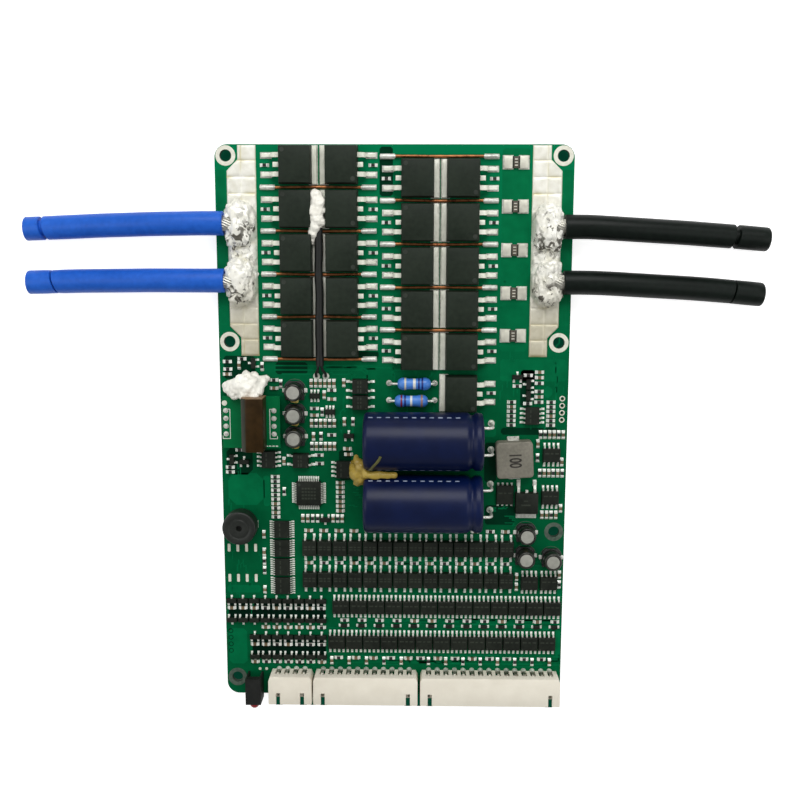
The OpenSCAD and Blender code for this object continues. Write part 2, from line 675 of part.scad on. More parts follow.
module monitor_chips() color("dimgray") {
    on_board() for (i = [0:3]) translate([monitor_at[0], monitor_at[1] - i * monitor_pitch, 0])
        rotate([0, 0, 90]) flat_pack(8, 0.65, [5, 4.4, 1.1], 6.4, 0.25);
}

module optocouplers() color("dimgray") {
    on_board() for (y = opto_rows, i = [0:opto_count - 1]) translate([opto_x + i * opto_pitch, y, 0])
        flat_pack(2, 2.54, [4.1, 4.4, 2.1], 7, 0.4);
}

module driver_chips() color("dimgray") {
    on_board() for (row = driver_rows, i = [0:driver_count - 1])
        translate([row[0] + i * driver_pitch, row[1], 0]) flat_pack(4, 1.27, [4.9, 3.9, 1.6], 6, 0.42);
}

// Other packages around the controller, the converter and the auxiliary supply
module support_chips() color("dimgray") {
    on_board() {
        for (p = [[44.2, -6.5, 0], [44.1, -18.7, 0], [38.6, 4.6, 90], [-14.2, -11, 90], [-35.2, -8.2, 90],
                  [38.8, -43.8, 0], [44.3, -43.8, 0]])
            translate([p[0], p[1], 0]) rotate([0, 0, p[2]]) flat_pack(4, 1.27, [4.9, 3.9, 1.6], 6, 0.42);
        for (p = [[-9.3, 12.7, 90], [-9.3, 8.2, 90], [-26.1, -8.4, 90]])
            translate([p[0], p[1], 0]) rotate([0, 0, p[2]]) flat_pack(2, 2.54, [4.1, 4.4, 2.1], 7, 0.4);
        translate([31.4, -18, 0]) flat_pack(4, 1.27, [4.9, 5.6, 1.1], 6.2, 0.4);
        translate([37.5, -20.2, 0]) {
            drafted_body([6.5, 6.1, 2.3], 0.15, 1.2, 0.05);
            translate([0, -3.4, 0]) block([5.3, 1.8, 0.55]);
            for (x = [-2.28, 2.28]) translate([x, 0, 0]) gull_lead(3, 6, 1.5, 0.8, 0.5);
            translate([-0.4, 2.9, 1]) cube([0.8, 0.9, 0.5]);
        }
    }
}

// Pairs of three-lead transistors above the connectors, and single ones elsewhere
module small_transistors() color("dimgray") {
    on_board() {
        for (row = pair_rows, i = [0:row[0] - 1]) translate([pair_x - i * pair_pitch, 0, 0]) {
            translate([0, row[1], 0]) small_transistor();
            translate([0, row[2], 0]) rotate([0, 0, 180]) small_transistor();
        }
        for (p = [[-22, 9.9], [-17.8, 5.4]]) translate([p[0], p[1], 0])
            flat_pack(3, 0.95, [2.9, 1.6, 1.1], 2.8, 0.4);
        for (p = [[-12.6, -1.4, 0], [-19.4, -25.7, 180], [37.4, 13.4, 90], [37.4, 10.2, 90], [-42.2, -9, 0],
                  [-39, 19, 90], [34.3, 15.4, 0], [-45.6, -8.3, 90]])
            translate([p[0], p[1], 0]) rotate([0, 0, p[2]]) small_transistor();
        for (i = [0:driver_count - 1]) translate([-14.3 + i * driver_pitch, -57.2, 0]) chip(2.2, 1.1, 0.9);
    }
}

module chip_components() color("tan") {
    on_board() {
        for (y = [-28.9, -38.4]) chip_row(opto_count, [-24.2, y], opto_pitch, 0);
        chip_row(driver_count, [-14.1, -55.6], driver_pitch, 0);
        chip_row(5, [-17.9, -67.9], driver_pitch, 90);
        chip_row(8, [10.2, -67.9], 5, 90);
        chip_row(5, [-15.9, -67], driver_pitch, 0);
        chip_row(8, [7.9, -67], 5, 0);
        for (row = [[9, -52.1], [6, -57.9], [7, -63.1], [7, -68.4]])
            chip_row(row[0], [pair_x, row[1]], -pair_pitch, 0);
        chip_column(10, [-33.5, -13.3], 1.3, 0);
        chip_column(7, [-15.1, -14.9], 1.36, 0);
        chip_row(4, [-25.8, -25.4], 1.4, 90);
        chip_row(3, [-17.2, -25.4], 1.3, 90);
        for (y = [13.4, 2.1, -4.5]) chip_row(6, [-23, y], 1.27, 90);
        chip_column(6, [32.8, 8.4], 1.3, 0);
        chip_column(6, [43.8, 8.4], 1.3, 0);
        for (y = [-0.8, -11.8]) chip_row(6, [41.1, y], 1.26, 90);
        chip_row(4, [42, -23.9], 1.3, 90);
        for (c = [0:3], r = [0:column_rows[c] - 1])
            translate([column_x[c] + column_side[c] * (mos_l / 2 + 4), bank_top[c] - r * row_pitch, 0])
                chip();
        for (p = [[-19.4, 10.2, 90], [-17.3, 11.5, 0], [-17.3, 9, 0], [-22.2, 6.3, 0], [-22.2, 4.4, 0],
                  [-20, 5.3, 90], [-13.8, 2.6, 90], [-11.4, 2.6, 90], [-13, -5.1, 0], [-12.7, -6.7, 0],
                  [-22.5, -1.7, 90], [-20.4, -1.6, 90], [-17.4, -1.2, 0], [-31, -17.6, 90], [-37, -30.2, 90],
                  [-37, -35.4, 90], [-37, -38, 90], [-37, -40.8, 90], [-37, -46.6, 90], [-46.2, -10.6, 0],
                  [-46.2, -12, 0], [-43.4, -5.6, 0], [-46.3, 19.4, 0], [-46.2, 17.3, 0], [-46.4, 15.9, 0],
                  [-43, 18.4, 90], [-42.2, 20.2, 0], [-36.6, 18, 90], [-33.4, 14.3, 0],
                  [-33.4, 12, 0], [-31.5, 13.2, 90], [-30.9, -8.8, 90], [-21, -7, 0], [-20.9, -9.4, 0],
                  [37.3, 15.9, 0], [40.4, 16.8, 0], [40.4, 15.3, 0], [40.4, 13.7, 0], [40.4, 11.4, 0],
                  [40.4, 9.9, 0], [40.4, 8.4, 0], [37.3, 8, 0], [34.3, 12.9, 0], [40.4, -3.4, 90],
                  [40.4, -7.4, 90], [47.2, -8.6, 90], [47.2, -22, 90], [47.4, -41.5, 90], [47.4, -44.4, 90],
                  [35.2, -42.3, 90], [35.2, -45.2, 90], [-13.9, 13.6, 90]])
            translate([p[0], p[1], 0]) rotate([0, 0, p[2]]) chip();
    }
}

// ---------------------------------------------------------------- adhesives and probe

// White silicone: a plug in the trench between two transistor columns, and a heap by the converter
module silicone_blobs() color("white") {
    trench_x = (column_x[0] + column_x[1]) / 2;
    r = (column_x[1] - column_x[0] - mos_l) / 2 - 0.05;
    l = 9.6;
    on_board() {
        difference() {
            translate([trench_x, 63, tab_t + r + 0.1]) rotate([90, 0, 0]) rotate_extrude() polygon([
                [0, -r], [r * 0.45, 0.2 - r], [r * 0.8, 0.8 - r], [r, 0.4], [r, l], [r * 0.8, l + 1],
                [r * 0.45, l + r - 0.2], [0, l + r]]);
            translate([probe_x, 54, probe_z]) rotate([90, 0, 0]) cylinder(d = probe_d + 2 * eps, h = 5);
        }
        sealant_heap();
    }
}

// Heap of sealant: overlapping rounded lobes, flat on the board and against the converter's end
module sealant_heap() {
    wall_y = conv_mid[1] + conv_l / 2 + 0.5;
    difference() {
        for (lobe = [[-40.4, 13.2, 3.4, 4.2], [-44.6, 13, 0.8, 2.5], [-37.2, 13.6, 1, 2.4]])
            translate([lobe[0], lobe[1], lobe[2]]) sphere(r = lobe[3]);
        translate([-60, 0, -10]) cube([40, 40, 10]);
        translate([-60, wall_y - 20, -1]) cube([40, 20, 20]);
    }
}

// Yellow adhesive between the two storage capacitors and at their closed ends
module staking_glue() color("goldenrod") {
    left = cap_right - cap_l;
    on_board() difference() {
        union() {
            translate([left - 1.2, cap_mid_y, 0]) cylinder(r = 1.1, h = cap_z);
            translate([left - 0.8, cap_mid_y, cap_z + 1.2]) sphere(r = 2.6);
            for (s = [-1, 1]) translate([left - 0.6, cap_mid_y + 2.4 * s, cap_z - 0.6]) sphere(r = 1.7);
            translate([left - 1, cap_mid_y, cap_z + 3.2]) rotate([0, 90, 0]) cylinder(r = 1.3, h = 10);
            translate([left + 9, cap_mid_y, cap_z + 3.2]) sphere(r = 1.3 + eps);
        }
        for (y = cap_ys) translate([left - 0.05, y, cap_z]) rotate([0, 90, 0])
            cylinder(d = cap_d + 0.1, h = cap_l);
    }
}

// Thermistor in a sleeve that lies over the transistor tabs, with two leads into the board
module temperature_probe() color("black") {
    tail_y = 18.5;
    on_board() {
        rod([probe_x, 54, probe_z], [probe_x, tail_y, probe_z], probe_d);
        for (p = probe_end) {
            root = [probe_x + sign(p[0] - probe_x) * 0.5, tail_y + 0.3, probe_z];
            rod(root, [p[0], p[1], 0.8], probe_lead_d);
            translate([p[0], p[1], 0.8]) sphere(d = probe_lead_d + 0.2);
            translate([p[0], p[1], -board_top]) cylinder(d = probe_lead_d, h = board_top + 0.8, $fn = 24);
        }
    }
}

circuit_board();
bus_pad_left();
bus_pad_right();
for (c = [0:3], r = [1:column_rows[c]])
    mosfet_at(c, r);
shunt_resistors();
copper_links();
storage_capacitor_upper();
storage_capacitor_lower();
can_capacitors();
can_bases();
inductor();
converter_board();
converter_transformer();
converter_headers();
buzzer();
connector_shell_4();
connector_shell_11();
connector_shell_15();
connector_pins_4();
connector_pins_11();
connector_pins_15();
indicator_holder();
indicator_led();
cable_blue_upper();
cable_blue_lower();
cable_black_upper();
cable_black_lower();
cable_cores();
axial_resistors();
microcontroller();
monitor_chips();
optocouplers();
driver_chips();
support_chips();
small_transistors();
chip_components();
silicone_blobs();
staking_glue();
temperature_probe();
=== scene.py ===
import bpy
import bmesh
import math
import random
from mathutils import Matrix, Vector, noise


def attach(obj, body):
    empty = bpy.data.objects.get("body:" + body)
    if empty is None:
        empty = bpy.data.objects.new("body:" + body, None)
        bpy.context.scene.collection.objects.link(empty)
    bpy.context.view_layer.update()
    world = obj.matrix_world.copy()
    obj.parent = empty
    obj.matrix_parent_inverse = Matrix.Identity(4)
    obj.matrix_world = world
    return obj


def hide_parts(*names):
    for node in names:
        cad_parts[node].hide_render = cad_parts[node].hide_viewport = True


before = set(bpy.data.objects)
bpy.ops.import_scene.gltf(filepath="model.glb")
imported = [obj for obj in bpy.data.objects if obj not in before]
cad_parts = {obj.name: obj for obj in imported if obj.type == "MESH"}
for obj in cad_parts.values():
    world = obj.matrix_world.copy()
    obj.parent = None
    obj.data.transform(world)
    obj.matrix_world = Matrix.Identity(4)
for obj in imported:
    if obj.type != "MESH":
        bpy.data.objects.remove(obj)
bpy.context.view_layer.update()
random.seed(7)

# ---------------------------------------------------------------- camera, light and floor
# The camera looks down on the component side. Two soft panels and a grey sky light it evenly.
scene = bpy.context.scene
scene.view_settings.view_transform = "Standard"
lens_data = bpy.data.cameras.new("camera")
lens_data.lens = 44.235
lens_data.sensor_width = 36
camera = bpy.data.objects.new("camera", lens_data)
tilt = (Matrix.Rotation(-0.004908, 3, "Z") @ Matrix.Rotation(-0.017079, 3, "Y")
        @ Matrix.Rotation(0.152157, 3, "X"))
camera.matrix_world = Matrix.Translation((0.006436, 0.051803, 0.274147)) @ tilt.transposed().to_4x4()
scene.collection.objects.link(camera)
scene.camera = camera

world = bpy.data.worlds.new("sky")
scene.world = world
world.use_nodes = True
world.node_tree.nodes["Background"].inputs["Color"].default_value = (1, 1, 1, 1)
sky_rays = world.node_tree.nodes.new("ShaderNodeLightPath")
sky_strength = world.node_tree.nodes.new("ShaderNodeMapRange")
sky_strength.inputs["To Min"].default_value = 0.32
sky_strength.inputs["To Max"].default_value = 1
world.node_tree.links.new(sky_rays.outputs["Is Camera Ray"], sky_strength.inputs["Value"])
world.node_tree.links.new(sky_strength.outputs[0], world.node_tree.nodes["Background"].inputs["Strength"])


def soft_panel(name, place, aim, size, watts):
    lamp = bpy.data.lights.new(name, "AREA")
    lamp.shape = "RECTANGLE"
    lamp.size, lamp.size_y = size
    lamp.energy = watts
    holder = bpy.data.objects.new(name, lamp)
    holder.location = place
    holder.rotation_euler = (Vector(aim) - Vector(place)).to_track_quat("-Z", "Y").to_euler()
    scene.collection.objects.link(holder)


soft_panel("panel_far", (0.05, 0.52, 0.5), (0, 0.02, 0), (0.6, 0.4), 3.3)
soft_panel("panel_left", (-0.5, 0.05, 0.45), (0, 0, 0), (0.4, 0.5), 1.0)
soft_panel("panel_right", (0.5, 0.0, 0.5), (0, 0, 0), (0.4, 0.5), 1.0)


def new_material(name, color, roughness=0.5, metallic=0.0, specular=0.5):
    made = bpy.data.materials.new(name)
    made.use_nodes = True
    shader = made.node_tree.nodes["Principled BSDF"]
    shader.inputs["Base Color"].default_value = (*color, 1)
    shader.inputs["Roughness"].default_value = roughness
    shader.inputs["Metallic"].default_value = metallic
    shader.inputs["Specular IOR Level"].default_value = specular
    return made, made.node_tree.nodes, made.node_tree.links, shader


def lit_paper(name, color):
    """A matt sheet that looks its own colour to the camera and lights nothing."""
    made, nodes, links, shader = new_material(name, color, 0.9, 0, 0.1)
    shader.inputs["Emission Color"].default_value = (*color, 1)
    rays = nodes.new("ShaderNodeLightPath")
    reflected = nodes.new("ShaderNodeMath")
    reflected.operation = "MULTIPLY"
    reflected.inputs[1].default_value = 0.3
    links.new(rays.outputs["Is Glossy Ray"], reflected.inputs[0])
    glow = nodes.new("ShaderNodeMath")
    glow.operation = "MULTIPLY_ADD"
    glow.inputs[1].default_value = 0.75
    links.new(rays.outputs["Is Camera Ray"], glow.inputs[0])
    links.new(reflected.outputs[0], glow.inputs[2])
    links.new(glow.outputs[0], shader.inputs["Emission Strength"])
    return made


def lay_sheets(name, sheets, look):
    """Flat sheets, each (x, y, z, width, length) in millimetres, that belong to the floor."""
    made = bpy.data.meshes.new(name)
    flat = bmesh.new()
    for x, y, z, wide, long in sheets:
        corners = bmesh.ops.create_grid(flat, x_segments=1, y_segments=1, size=0.5)["verts"]
        bmesh.ops.transform(flat, verts=corners, matrix=Matrix.Translation((x / 1000, y / 1000, z / 1000))
                            @ Matrix.Diagonal((wide / 1000, long / 1000, 1, 1)))
    flat.to_mesh(made)
    flat.free()
    laid = bpy.data.objects.new(name, made)
    laid.data.materials.append(look)
    scene.collection.objects.link(laid)


lay_sheets("floor", [(0, 0, 0, 6000, 6000)], lit_paper("floor_paper", (0.9, 0.9, 0.9)))

# Green cards lie on the floor where the fixing holes, vias and mouth slots let the camera see it. Their dark
# green glows the same to the camera in any light: partly the colour of a green mat, partly painted shade
# under the board.
eye = camera.matrix_world.translation * 1000
fixing_holes = [(-45.5, 75.25), (45.5, 75.25), (-45.5, 24.95), (45.5, 24.95), (-45.5, -73.25), (45.5, -28.85)]
board_shift = 1.45
openings = [(x, y + board_shift, 3, 4.2, 4.2) for x, y in fixing_holes]
openings += [(46.9, 7.85, 3, 1.8, 8.2), (-47.2, -60.75, 3, 1.8, 8.2), (-23.2, -76.9, 6.6, 1.5, 3.7),
    (7.45, -76.9, 6.6, 1.2, 3.7)]
openings += [(x, -77.4, 6.6, 2.1, 2.7) for x in (-32.95, -26.05, -20.1, 4.3, 10.55, 44.95)]
cards = []
for x, y, high, wide, long in openings:
    reach = high / (eye.z - high)
    cards.append((x + (x - eye.x) * reach, y + (y - eye.y) * reach, 0.02, wide, long))
lay_sheets("floor_shade_cards", cards, lit_paper("green_card_painted_shade", (0.001, 0.042, 0.022)))

# ---------------------------------------------------------------- cables
# Four silicone cables of 6.5 mm with tinned stranded cores, soldered to the bus pads at one end.
# The insulation is cut through by a ring near the far end, which is left bare and flat.
cable_d = 0.0065
core_d = 0.0042
cable_routes = {
    "cable_blue_upper": [(-45.8, 58.6, 6.7), (-52, 58.6, 6.7), (-58, 58.5, 6.5), (-65, 58.4, 6),
        (-72, 58.2, 5.3), (-79, 58, 4.6), (-86, 57.7, 4), (-93, 57.4, 3.5), (-100.4, 57.1, 3.25)],
    "cable_blue_lower": [(-45.8, 43.3, 6.7), (-52, 43.3, 6.7), (-58, 43.3, 6.5), (-65, 43.3, 6),
        (-72, 43.2, 5.3), (-79, 43.1, 4.6), (-86, 43, 4), (-93, 42.8, 3.5), (-100.4, 42.6, 3.25)],
    "cable_black_upper": [(45.8, 57.8, 6.7), (52, 57.8, 6.7), (58, 57.5, 6.5), (65, 57.1, 6),
        (72, 56.7, 5.3), (79, 56.3, 4.6), (86, 55.8, 4), (93, 55.3, 3.5), (101.2, 54.6, 3.25)],
    "cable_black_lower": [(45.8, 43, 6.7), (52, 43, 6.7), (58, 42.8, 6.5), (65, 42.4, 6), (72, 42, 5.3),
        (79, 41.6, 4.6), (86, 41.1, 4), (93, 40.5, 3.5), (100.4, 39.8, 3.25)],
}


def grain_group():
    """Colour, roughness and bump that vary with two sizes of noise."""
    group = bpy.data.node_groups.new("grain", "ShaderNodeTree")
    face = group.interface
    for label, kind, value in (("Dark", "NodeSocketColor", (0, 0, 0, 1)),
            ("Light", "NodeSocketColor", (1, 1, 1, 1)), ("Scale", "NodeSocketFloat", 500),
            ("Rough Low", "NodeSocketFloat", 0.4), ("Rough High", "NodeSocketFloat", 0.6),
            ("Bump", "NodeSocketFloat", 0.1)):
        face.new_socket(label, in_out="INPUT", socket_type=kind).default_value = value
    for label, kind in (("Color", "NodeSocketColor"), ("Roughness", "NodeSocketFloat"),
            ("Normal", "NodeSocketVector")):
        face.new_socket(label, in_out="OUTPUT", socket_type=kind)
    inside = group.nodes
    wire = group.links.new
    start = inside.new("NodeGroupInput")
    end = inside.new("NodeGroupOutput")
    spot = inside.new("ShaderNodeTexCoord")
    fine = inside.new("ShaderNodeTexNoise")
    fine.inputs["Detail"].default_value = 6
    broad = inside.new("ShaderNodeTexNoise")
    broad.inputs["Detail"].default_value = 2
    fifth = inside.new("ShaderNodeMath")
    fifth.operation = "MULTIPLY"
    fifth.inputs[1].default_value = 0.13
    wire(start.outputs["Scale"], fine.inputs["Scale"])
    wire(start.outputs["Scale"], fifth.inputs[0])
    wire(fifth.outputs[0], broad.inputs["Scale"])
    both = inside.new("ShaderNodeMath")
    both.operation = "ADD"
    for source, socket in ((fine, 0), (broad, 1)):
        wire(spot.outputs["Object"], source.inputs["Vector"])
        wire(source.outputs["Fac"], both.inputs[socket])
    spread = inside.new("ShaderNodeMapRange")
    spread.inputs["From Min"].default_value = 0.7
    spread.inputs["From Max"].default_value = 1.3
    wire(both.outputs[0], spread.inputs["Value"])
    shade = inside.new("ShaderNodeMix")
    shade.data_type = "RGBA"
    wire(spread.outputs[0], shade.inputs["Factor"])
    wire(start.outputs["Dark"], shade.inputs["A"])
    wire(start.outputs["Light"], shade.inputs["B"])
    rough = inside.new("ShaderNodeMapRange")
    wire(spread.outputs[0], rough.inputs["Value"])
    wire(start.outputs["Rough Low"], rough.inputs["To Min"])
    wire(start.outputs["Rough High"], rough.inputs["To Max"])
    relief = inside.new("ShaderNodeBump")
    relief.inputs["Distance"].default_value = 0.0001
    wire(start.outputs["Bump"], relief.inputs["Strength"])
    wire(both.outputs[0], relief.inputs["Height"])
    wire(shade.outputs["Result"], end.inputs["Color"])
    wire(rough.outputs[0], end.inputs["Roughness"])
    wire(relief.outputs[0], end.inputs["Normal"])
    return group


grain = grain_group()


def place_grain(nodes, dark, light, scale, rough, bump):
    """The grain group with its own values, placed in a material."""
    mottle = nodes.new("ShaderNodeGroup")
    mottle.node_tree = grain
    mottle.inputs["Dark"].default_value = (*dark, 1)
    mottle.inputs["Light"].default_value = (*light, 1)
    mottle.inputs["Scale"].default_value = scale
    mottle.inputs["Rough Low"].default_value, mottle.inputs["Rough High"].default_value = rough
    mottle.inputs["Bump"].default_value = bump
    return mottle


def grained(name, dark, light, scale=900, rough=(0.4, 0.6), bump=0.1, metallic=0.0, specular=0.5):
    """A material whose colour, gloss and relief come from the grain group."""
    made, nodes, links, shader = new_material(name, light, rough[0], metallic, specular)
    mottle = place_grain(nodes, dark, light, scale, rough, bump)
    for mine, theirs in (("Color", "Base Color"), ("Roughness", "Roughness"), ("Normal", "Normal")):
        links.new(mottle.outputs[mine], shader.inputs[theirs])
    return made


def rgb(red, green, blue):
    """The linear colour of a screen colour from 0 to 255."""
    return tuple((c / 255 / 12.92) if c < 11 else ((c / 255 + 0.055) / 1.055) ** 2.4
        for c in (red, green, blue))


BOARD = Matrix.Translation((0, board_shift / 1000, 0.0031)) @ Matrix.Diagonal((0.001, 0.001, 0.001, 1))
MODEL = Matrix.Diagonal((0.001, 0.001, 0.001, 1))


def as_mesh(shape, name="unit"):
    bmesh.ops.recalc_face_normals(shape, faces=shape.faces)
    made = bpy.data.meshes.new(name)
    shape.to_mesh(made)
    shape.free()
    return made


def make_piece(name, shape, looks, stands_for=(), base=BOARD, sharp=35, fix_normals=True):
    """Turns a bmesh in millimetres into a finished object that rides on the board."""
    if fix_normals:
        bmesh.ops.recalc_face_normals(shape, faces=shape.faces)
    bmesh.ops.transform(shape, matrix=base, verts=shape.verts)
    mesh = bpy.data.meshes.new(name)
    shape.to_mesh(mesh)
    shape.free()
    mesh.shade_smooth()
    mesh.set_sharp_from_angle(angle=math.radians(sharp))
    for look in looks:
        mesh.materials.append(look)
    made = bpy.data.objects.new(name, mesh)
    scene.collection.objects.link(made)
    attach(made, "root")
    if stands_for:
        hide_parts(*stands_for)
    return made


def stamp(shape, mesh, matrix):
    """Adds a copy of a small mesh to a bmesh at a place."""
    copy = mesh.copy()
    copy.transform(matrix)
    if matrix.to_3x3().determinant() < 0:
        copy.flip_normals()
    shape.from_mesh(copy)
    bpy.data.meshes.remove(copy)


def at(x, y, z=0.0, turn=0.0):
    return Matrix.Translation((x, y, z)) @ Matrix.Rotation(math.radians(turn), 4, "Z")


def smooth_line(points, step):
    """Points on a Catmull-Rom curve through the given ones, about step apart."""
    points = [Vector(p) for p in points]
    ends = [2 * points[0] - points[1]] + points + [2 * points[-1] - points[-2]]
    line = []
    for a, b, c, d in zip(ends, ends[1:], ends[2:], ends[3:]):
        count = max(1, round((c - b).length / step))
        for i in range(count):
            t = i / count
            line.append(0.5 * (2 * b + (c - a) * t + (2 * a - 5 * b + 4 * c - d) * t ** 2
                + (3 * b - a - 3 * c + d) * t ** 3))
    return line + [points[-1]]


def verts_of(geometry):
    """The vertices in what a bmesh operator returned."""
    return [g for g in geometry if isinstance(g, bmesh.types.BMVert)]


def sweep(shape, stations, sides, look=0, cap=True):
    """Carries a ring through stations of (centre, direction, radius) and closes both ends."""
    ring = bmesh.ops.create_circle(shape, cap_ends=False, radius=1, segments=sides)["verts"]
    edges = list({e for v in ring for e in v.link_edges})
    now = Matrix.Identity(4)
    first = edges
    for centre, direction, radius in stations:
        turn = Vector(direction).to_track_quat("Z", "Y").to_matrix().to_4x4()
        goal = Matrix.Translation(centre) @ turn @ Matrix.Diagonal((radius, radius, radius, 1))
        if centre is not stations[0][0]:
            grown = bmesh.ops.extrude_edge_only(shape, edges=edges)["geom"]
            ring = verts_of(grown)
            edges = [g for g in grown if isinstance(g, bmesh.types.BMEdge)
                and all(v in ring for v in g.verts)]
            for g in grown:
                if isinstance(g, bmesh.types.BMFace):
                    g.material_index = look
        bmesh.ops.transform(shape, matrix=goal @ now.inverted(), verts=ring)
        now = goal
    if cap:
        for loop in (first, edges):
            for face in bmesh.ops.contextual_create(shape, geom=loop)["faces"]:
                face.material_index = look


def directions(line):
    """The direction of a line at each of its points."""
    return [(b - a).normalized() for a, b in zip([line[0]] + line[:-1], line[1:] + [line[-1]])]


blue_sheath = grained("blue_silicone", rgb(18, 84, 184), rgb(30, 98, 204), 700, (0.34, 0.46), 0.05, 0, 0.28)
black_sheath = grained("black_silicone", rgb(7, 14, 10), rgb(14, 23, 18), 700, (0.34, 0.46), 0.05, 0, 0.16)
strand_tin = grained("tinned_strands", rgb(120, 118, 110), rgb(222, 220, 208), 2500, (0.25, 0.45), 0.2, 0.8)

# name: (gap centre from the far end, gap width, tilt in degrees, radius of the far end's rounding)
ring_cuts = {"cable_blue_upper": (4.9, 1.1, 9, 0.15), "cable_blue_lower": (7.3, 0.45, 13, 0.15),
             "cable_black_upper": (9.2, 1.3, -6, 0.7), "cable_black_lower": (8.4, 0.4, -7, 0.7)}


def sheath_stations(route, cut, width, tilt, rounding):
    """Ring stations of a sheath: rounded ends, a straight-walled cut, and open bores at both ends."""
    line = smooth_line(route, 2.4)
    aims = directions(line)
    length = [0.0]
    for a, b in zip(line, line[1:]):
        length.append(length[-1] + (b - a).length)
    total = length[-1]

    def spot(s):
        s = min(max(s, 0), total)
        i = max(k for k in range(len(line)) if length[k] <= s + 1e-9)
        i = min(i, len(line) - 2)
        t = (s - length[i]) / (length[i + 1] - length[i])
        return line[i].lerp(line[i + 1], t), aims[i].lerp(aims[i + 1], t).normalized()

    outer = cable_d * 500
    inner = core_d * 500 + 0.08
    cut_at = total - cut
    marks = [(1.6, inner, 0), (0.0, inner, 0), (0.0, outer - 0.15, 0), (0.15, outer, 0)]
    marks += [(s, outer, 0) for s in length[1:] if s < cut_at - width - 1.5]
    marks += [(cut_at - width / 2 - 0.08, outer, tilt), (cut_at - width / 2, outer - 0.1, tilt),
              (cut_at - width / 2, inner, tilt), (cut_at + width / 2, inner, tilt),
              (cut_at + width / 2, outer - 0.1, tilt), (cut_at + width / 2 + 0.08, outer, tilt)]
    marks += [(s, outer, 0) for s in length if cut_at + width + 1.5 < s < total - rounding - 0.4]
    for angle in (0, 30, 60, 90):
        a = math.radians(angle)
        marks.append((total - rounding + rounding * math.sin(a), outer - rounding + rounding * math.cos(a),
            0))
    marks += [(total, inner, 0), (total - 1.2, inner, 0)]
    stations = []
    for s, radius, lean in marks:
        centre, aim = spot(s)
        aim = Matrix.Rotation(math.radians(lean), 3, "Z") @ aim
        stations.append((centre.copy(), aim, radius))
    return stations, line


def strand_bundle(shape, line, radius, count, thick, twist):
    """Twisted strands round a straight or gently bent stretch of core."""
    aims = directions(line)
    core = [(p.copy(), d, radius - thick * 0.6) for p, d in zip(line, aims)]
    sweep(shape, core, 16)
    for k in range(count):
        path = []
        run = 0.0
        for i, (p, d) in enumerate(zip(line, aims)):
            run += (p - line[i - 1]).length if i else 0
            angle = 2 * math.pi * k / count + run * twist
            side = Vector((0, 0, 1)).cross(d).normalized()
            path.append(p + (math.cos(angle) * side + math.sin(angle) * d.cross(side)) * (radius - thick / 2))
        sweep(shape, [(p, d, thick / 2) for p, d in zip(path, directions(path))], 6)


for name, route in cable_routes.items():
    color = blue_sheath if "blue" in name else black_sheath
    stations, line = sheath_stations(route, *ring_cuts[name])
    tube = bmesh.new()
    sweep(tube, stations, 32, cap=False)
    sheath = make_piece(name + "_sheath", tube, [color],
                        [name], MODEL)
    strands = bmesh.new()
    inward = Vector((-math.copysign(1, route[0][0]), 0, 0))
    strand_bundle(strands, [line[0] + inward * 2.4, line[0] + inward * 1.2, line[0].copy(),
        line[1].lerp(line[0], 0.4)], core_d * 500, 16, 0.75, 0.25)
    cut = ring_cuts[name][0]
    back = [p for p in line if (p - line[-1]).length < cut + 2.5]
    strand_bundle(strands, back[:-1] + [line[-1].lerp(line[-2], 0.12)], core_d * 500, 16, 0.75, 0.25)
    ends = make_piece(name + "_strands", strands, [strand_tin], base=MODEL)

# ---------------------------------------------------------------- circuit board
# A two-sided laminate of 1.6 mm under a green solder mask, cut by a router, so its edge shows
# bare glass cloth. Copper areas and tracks stand out faintly through the mask.


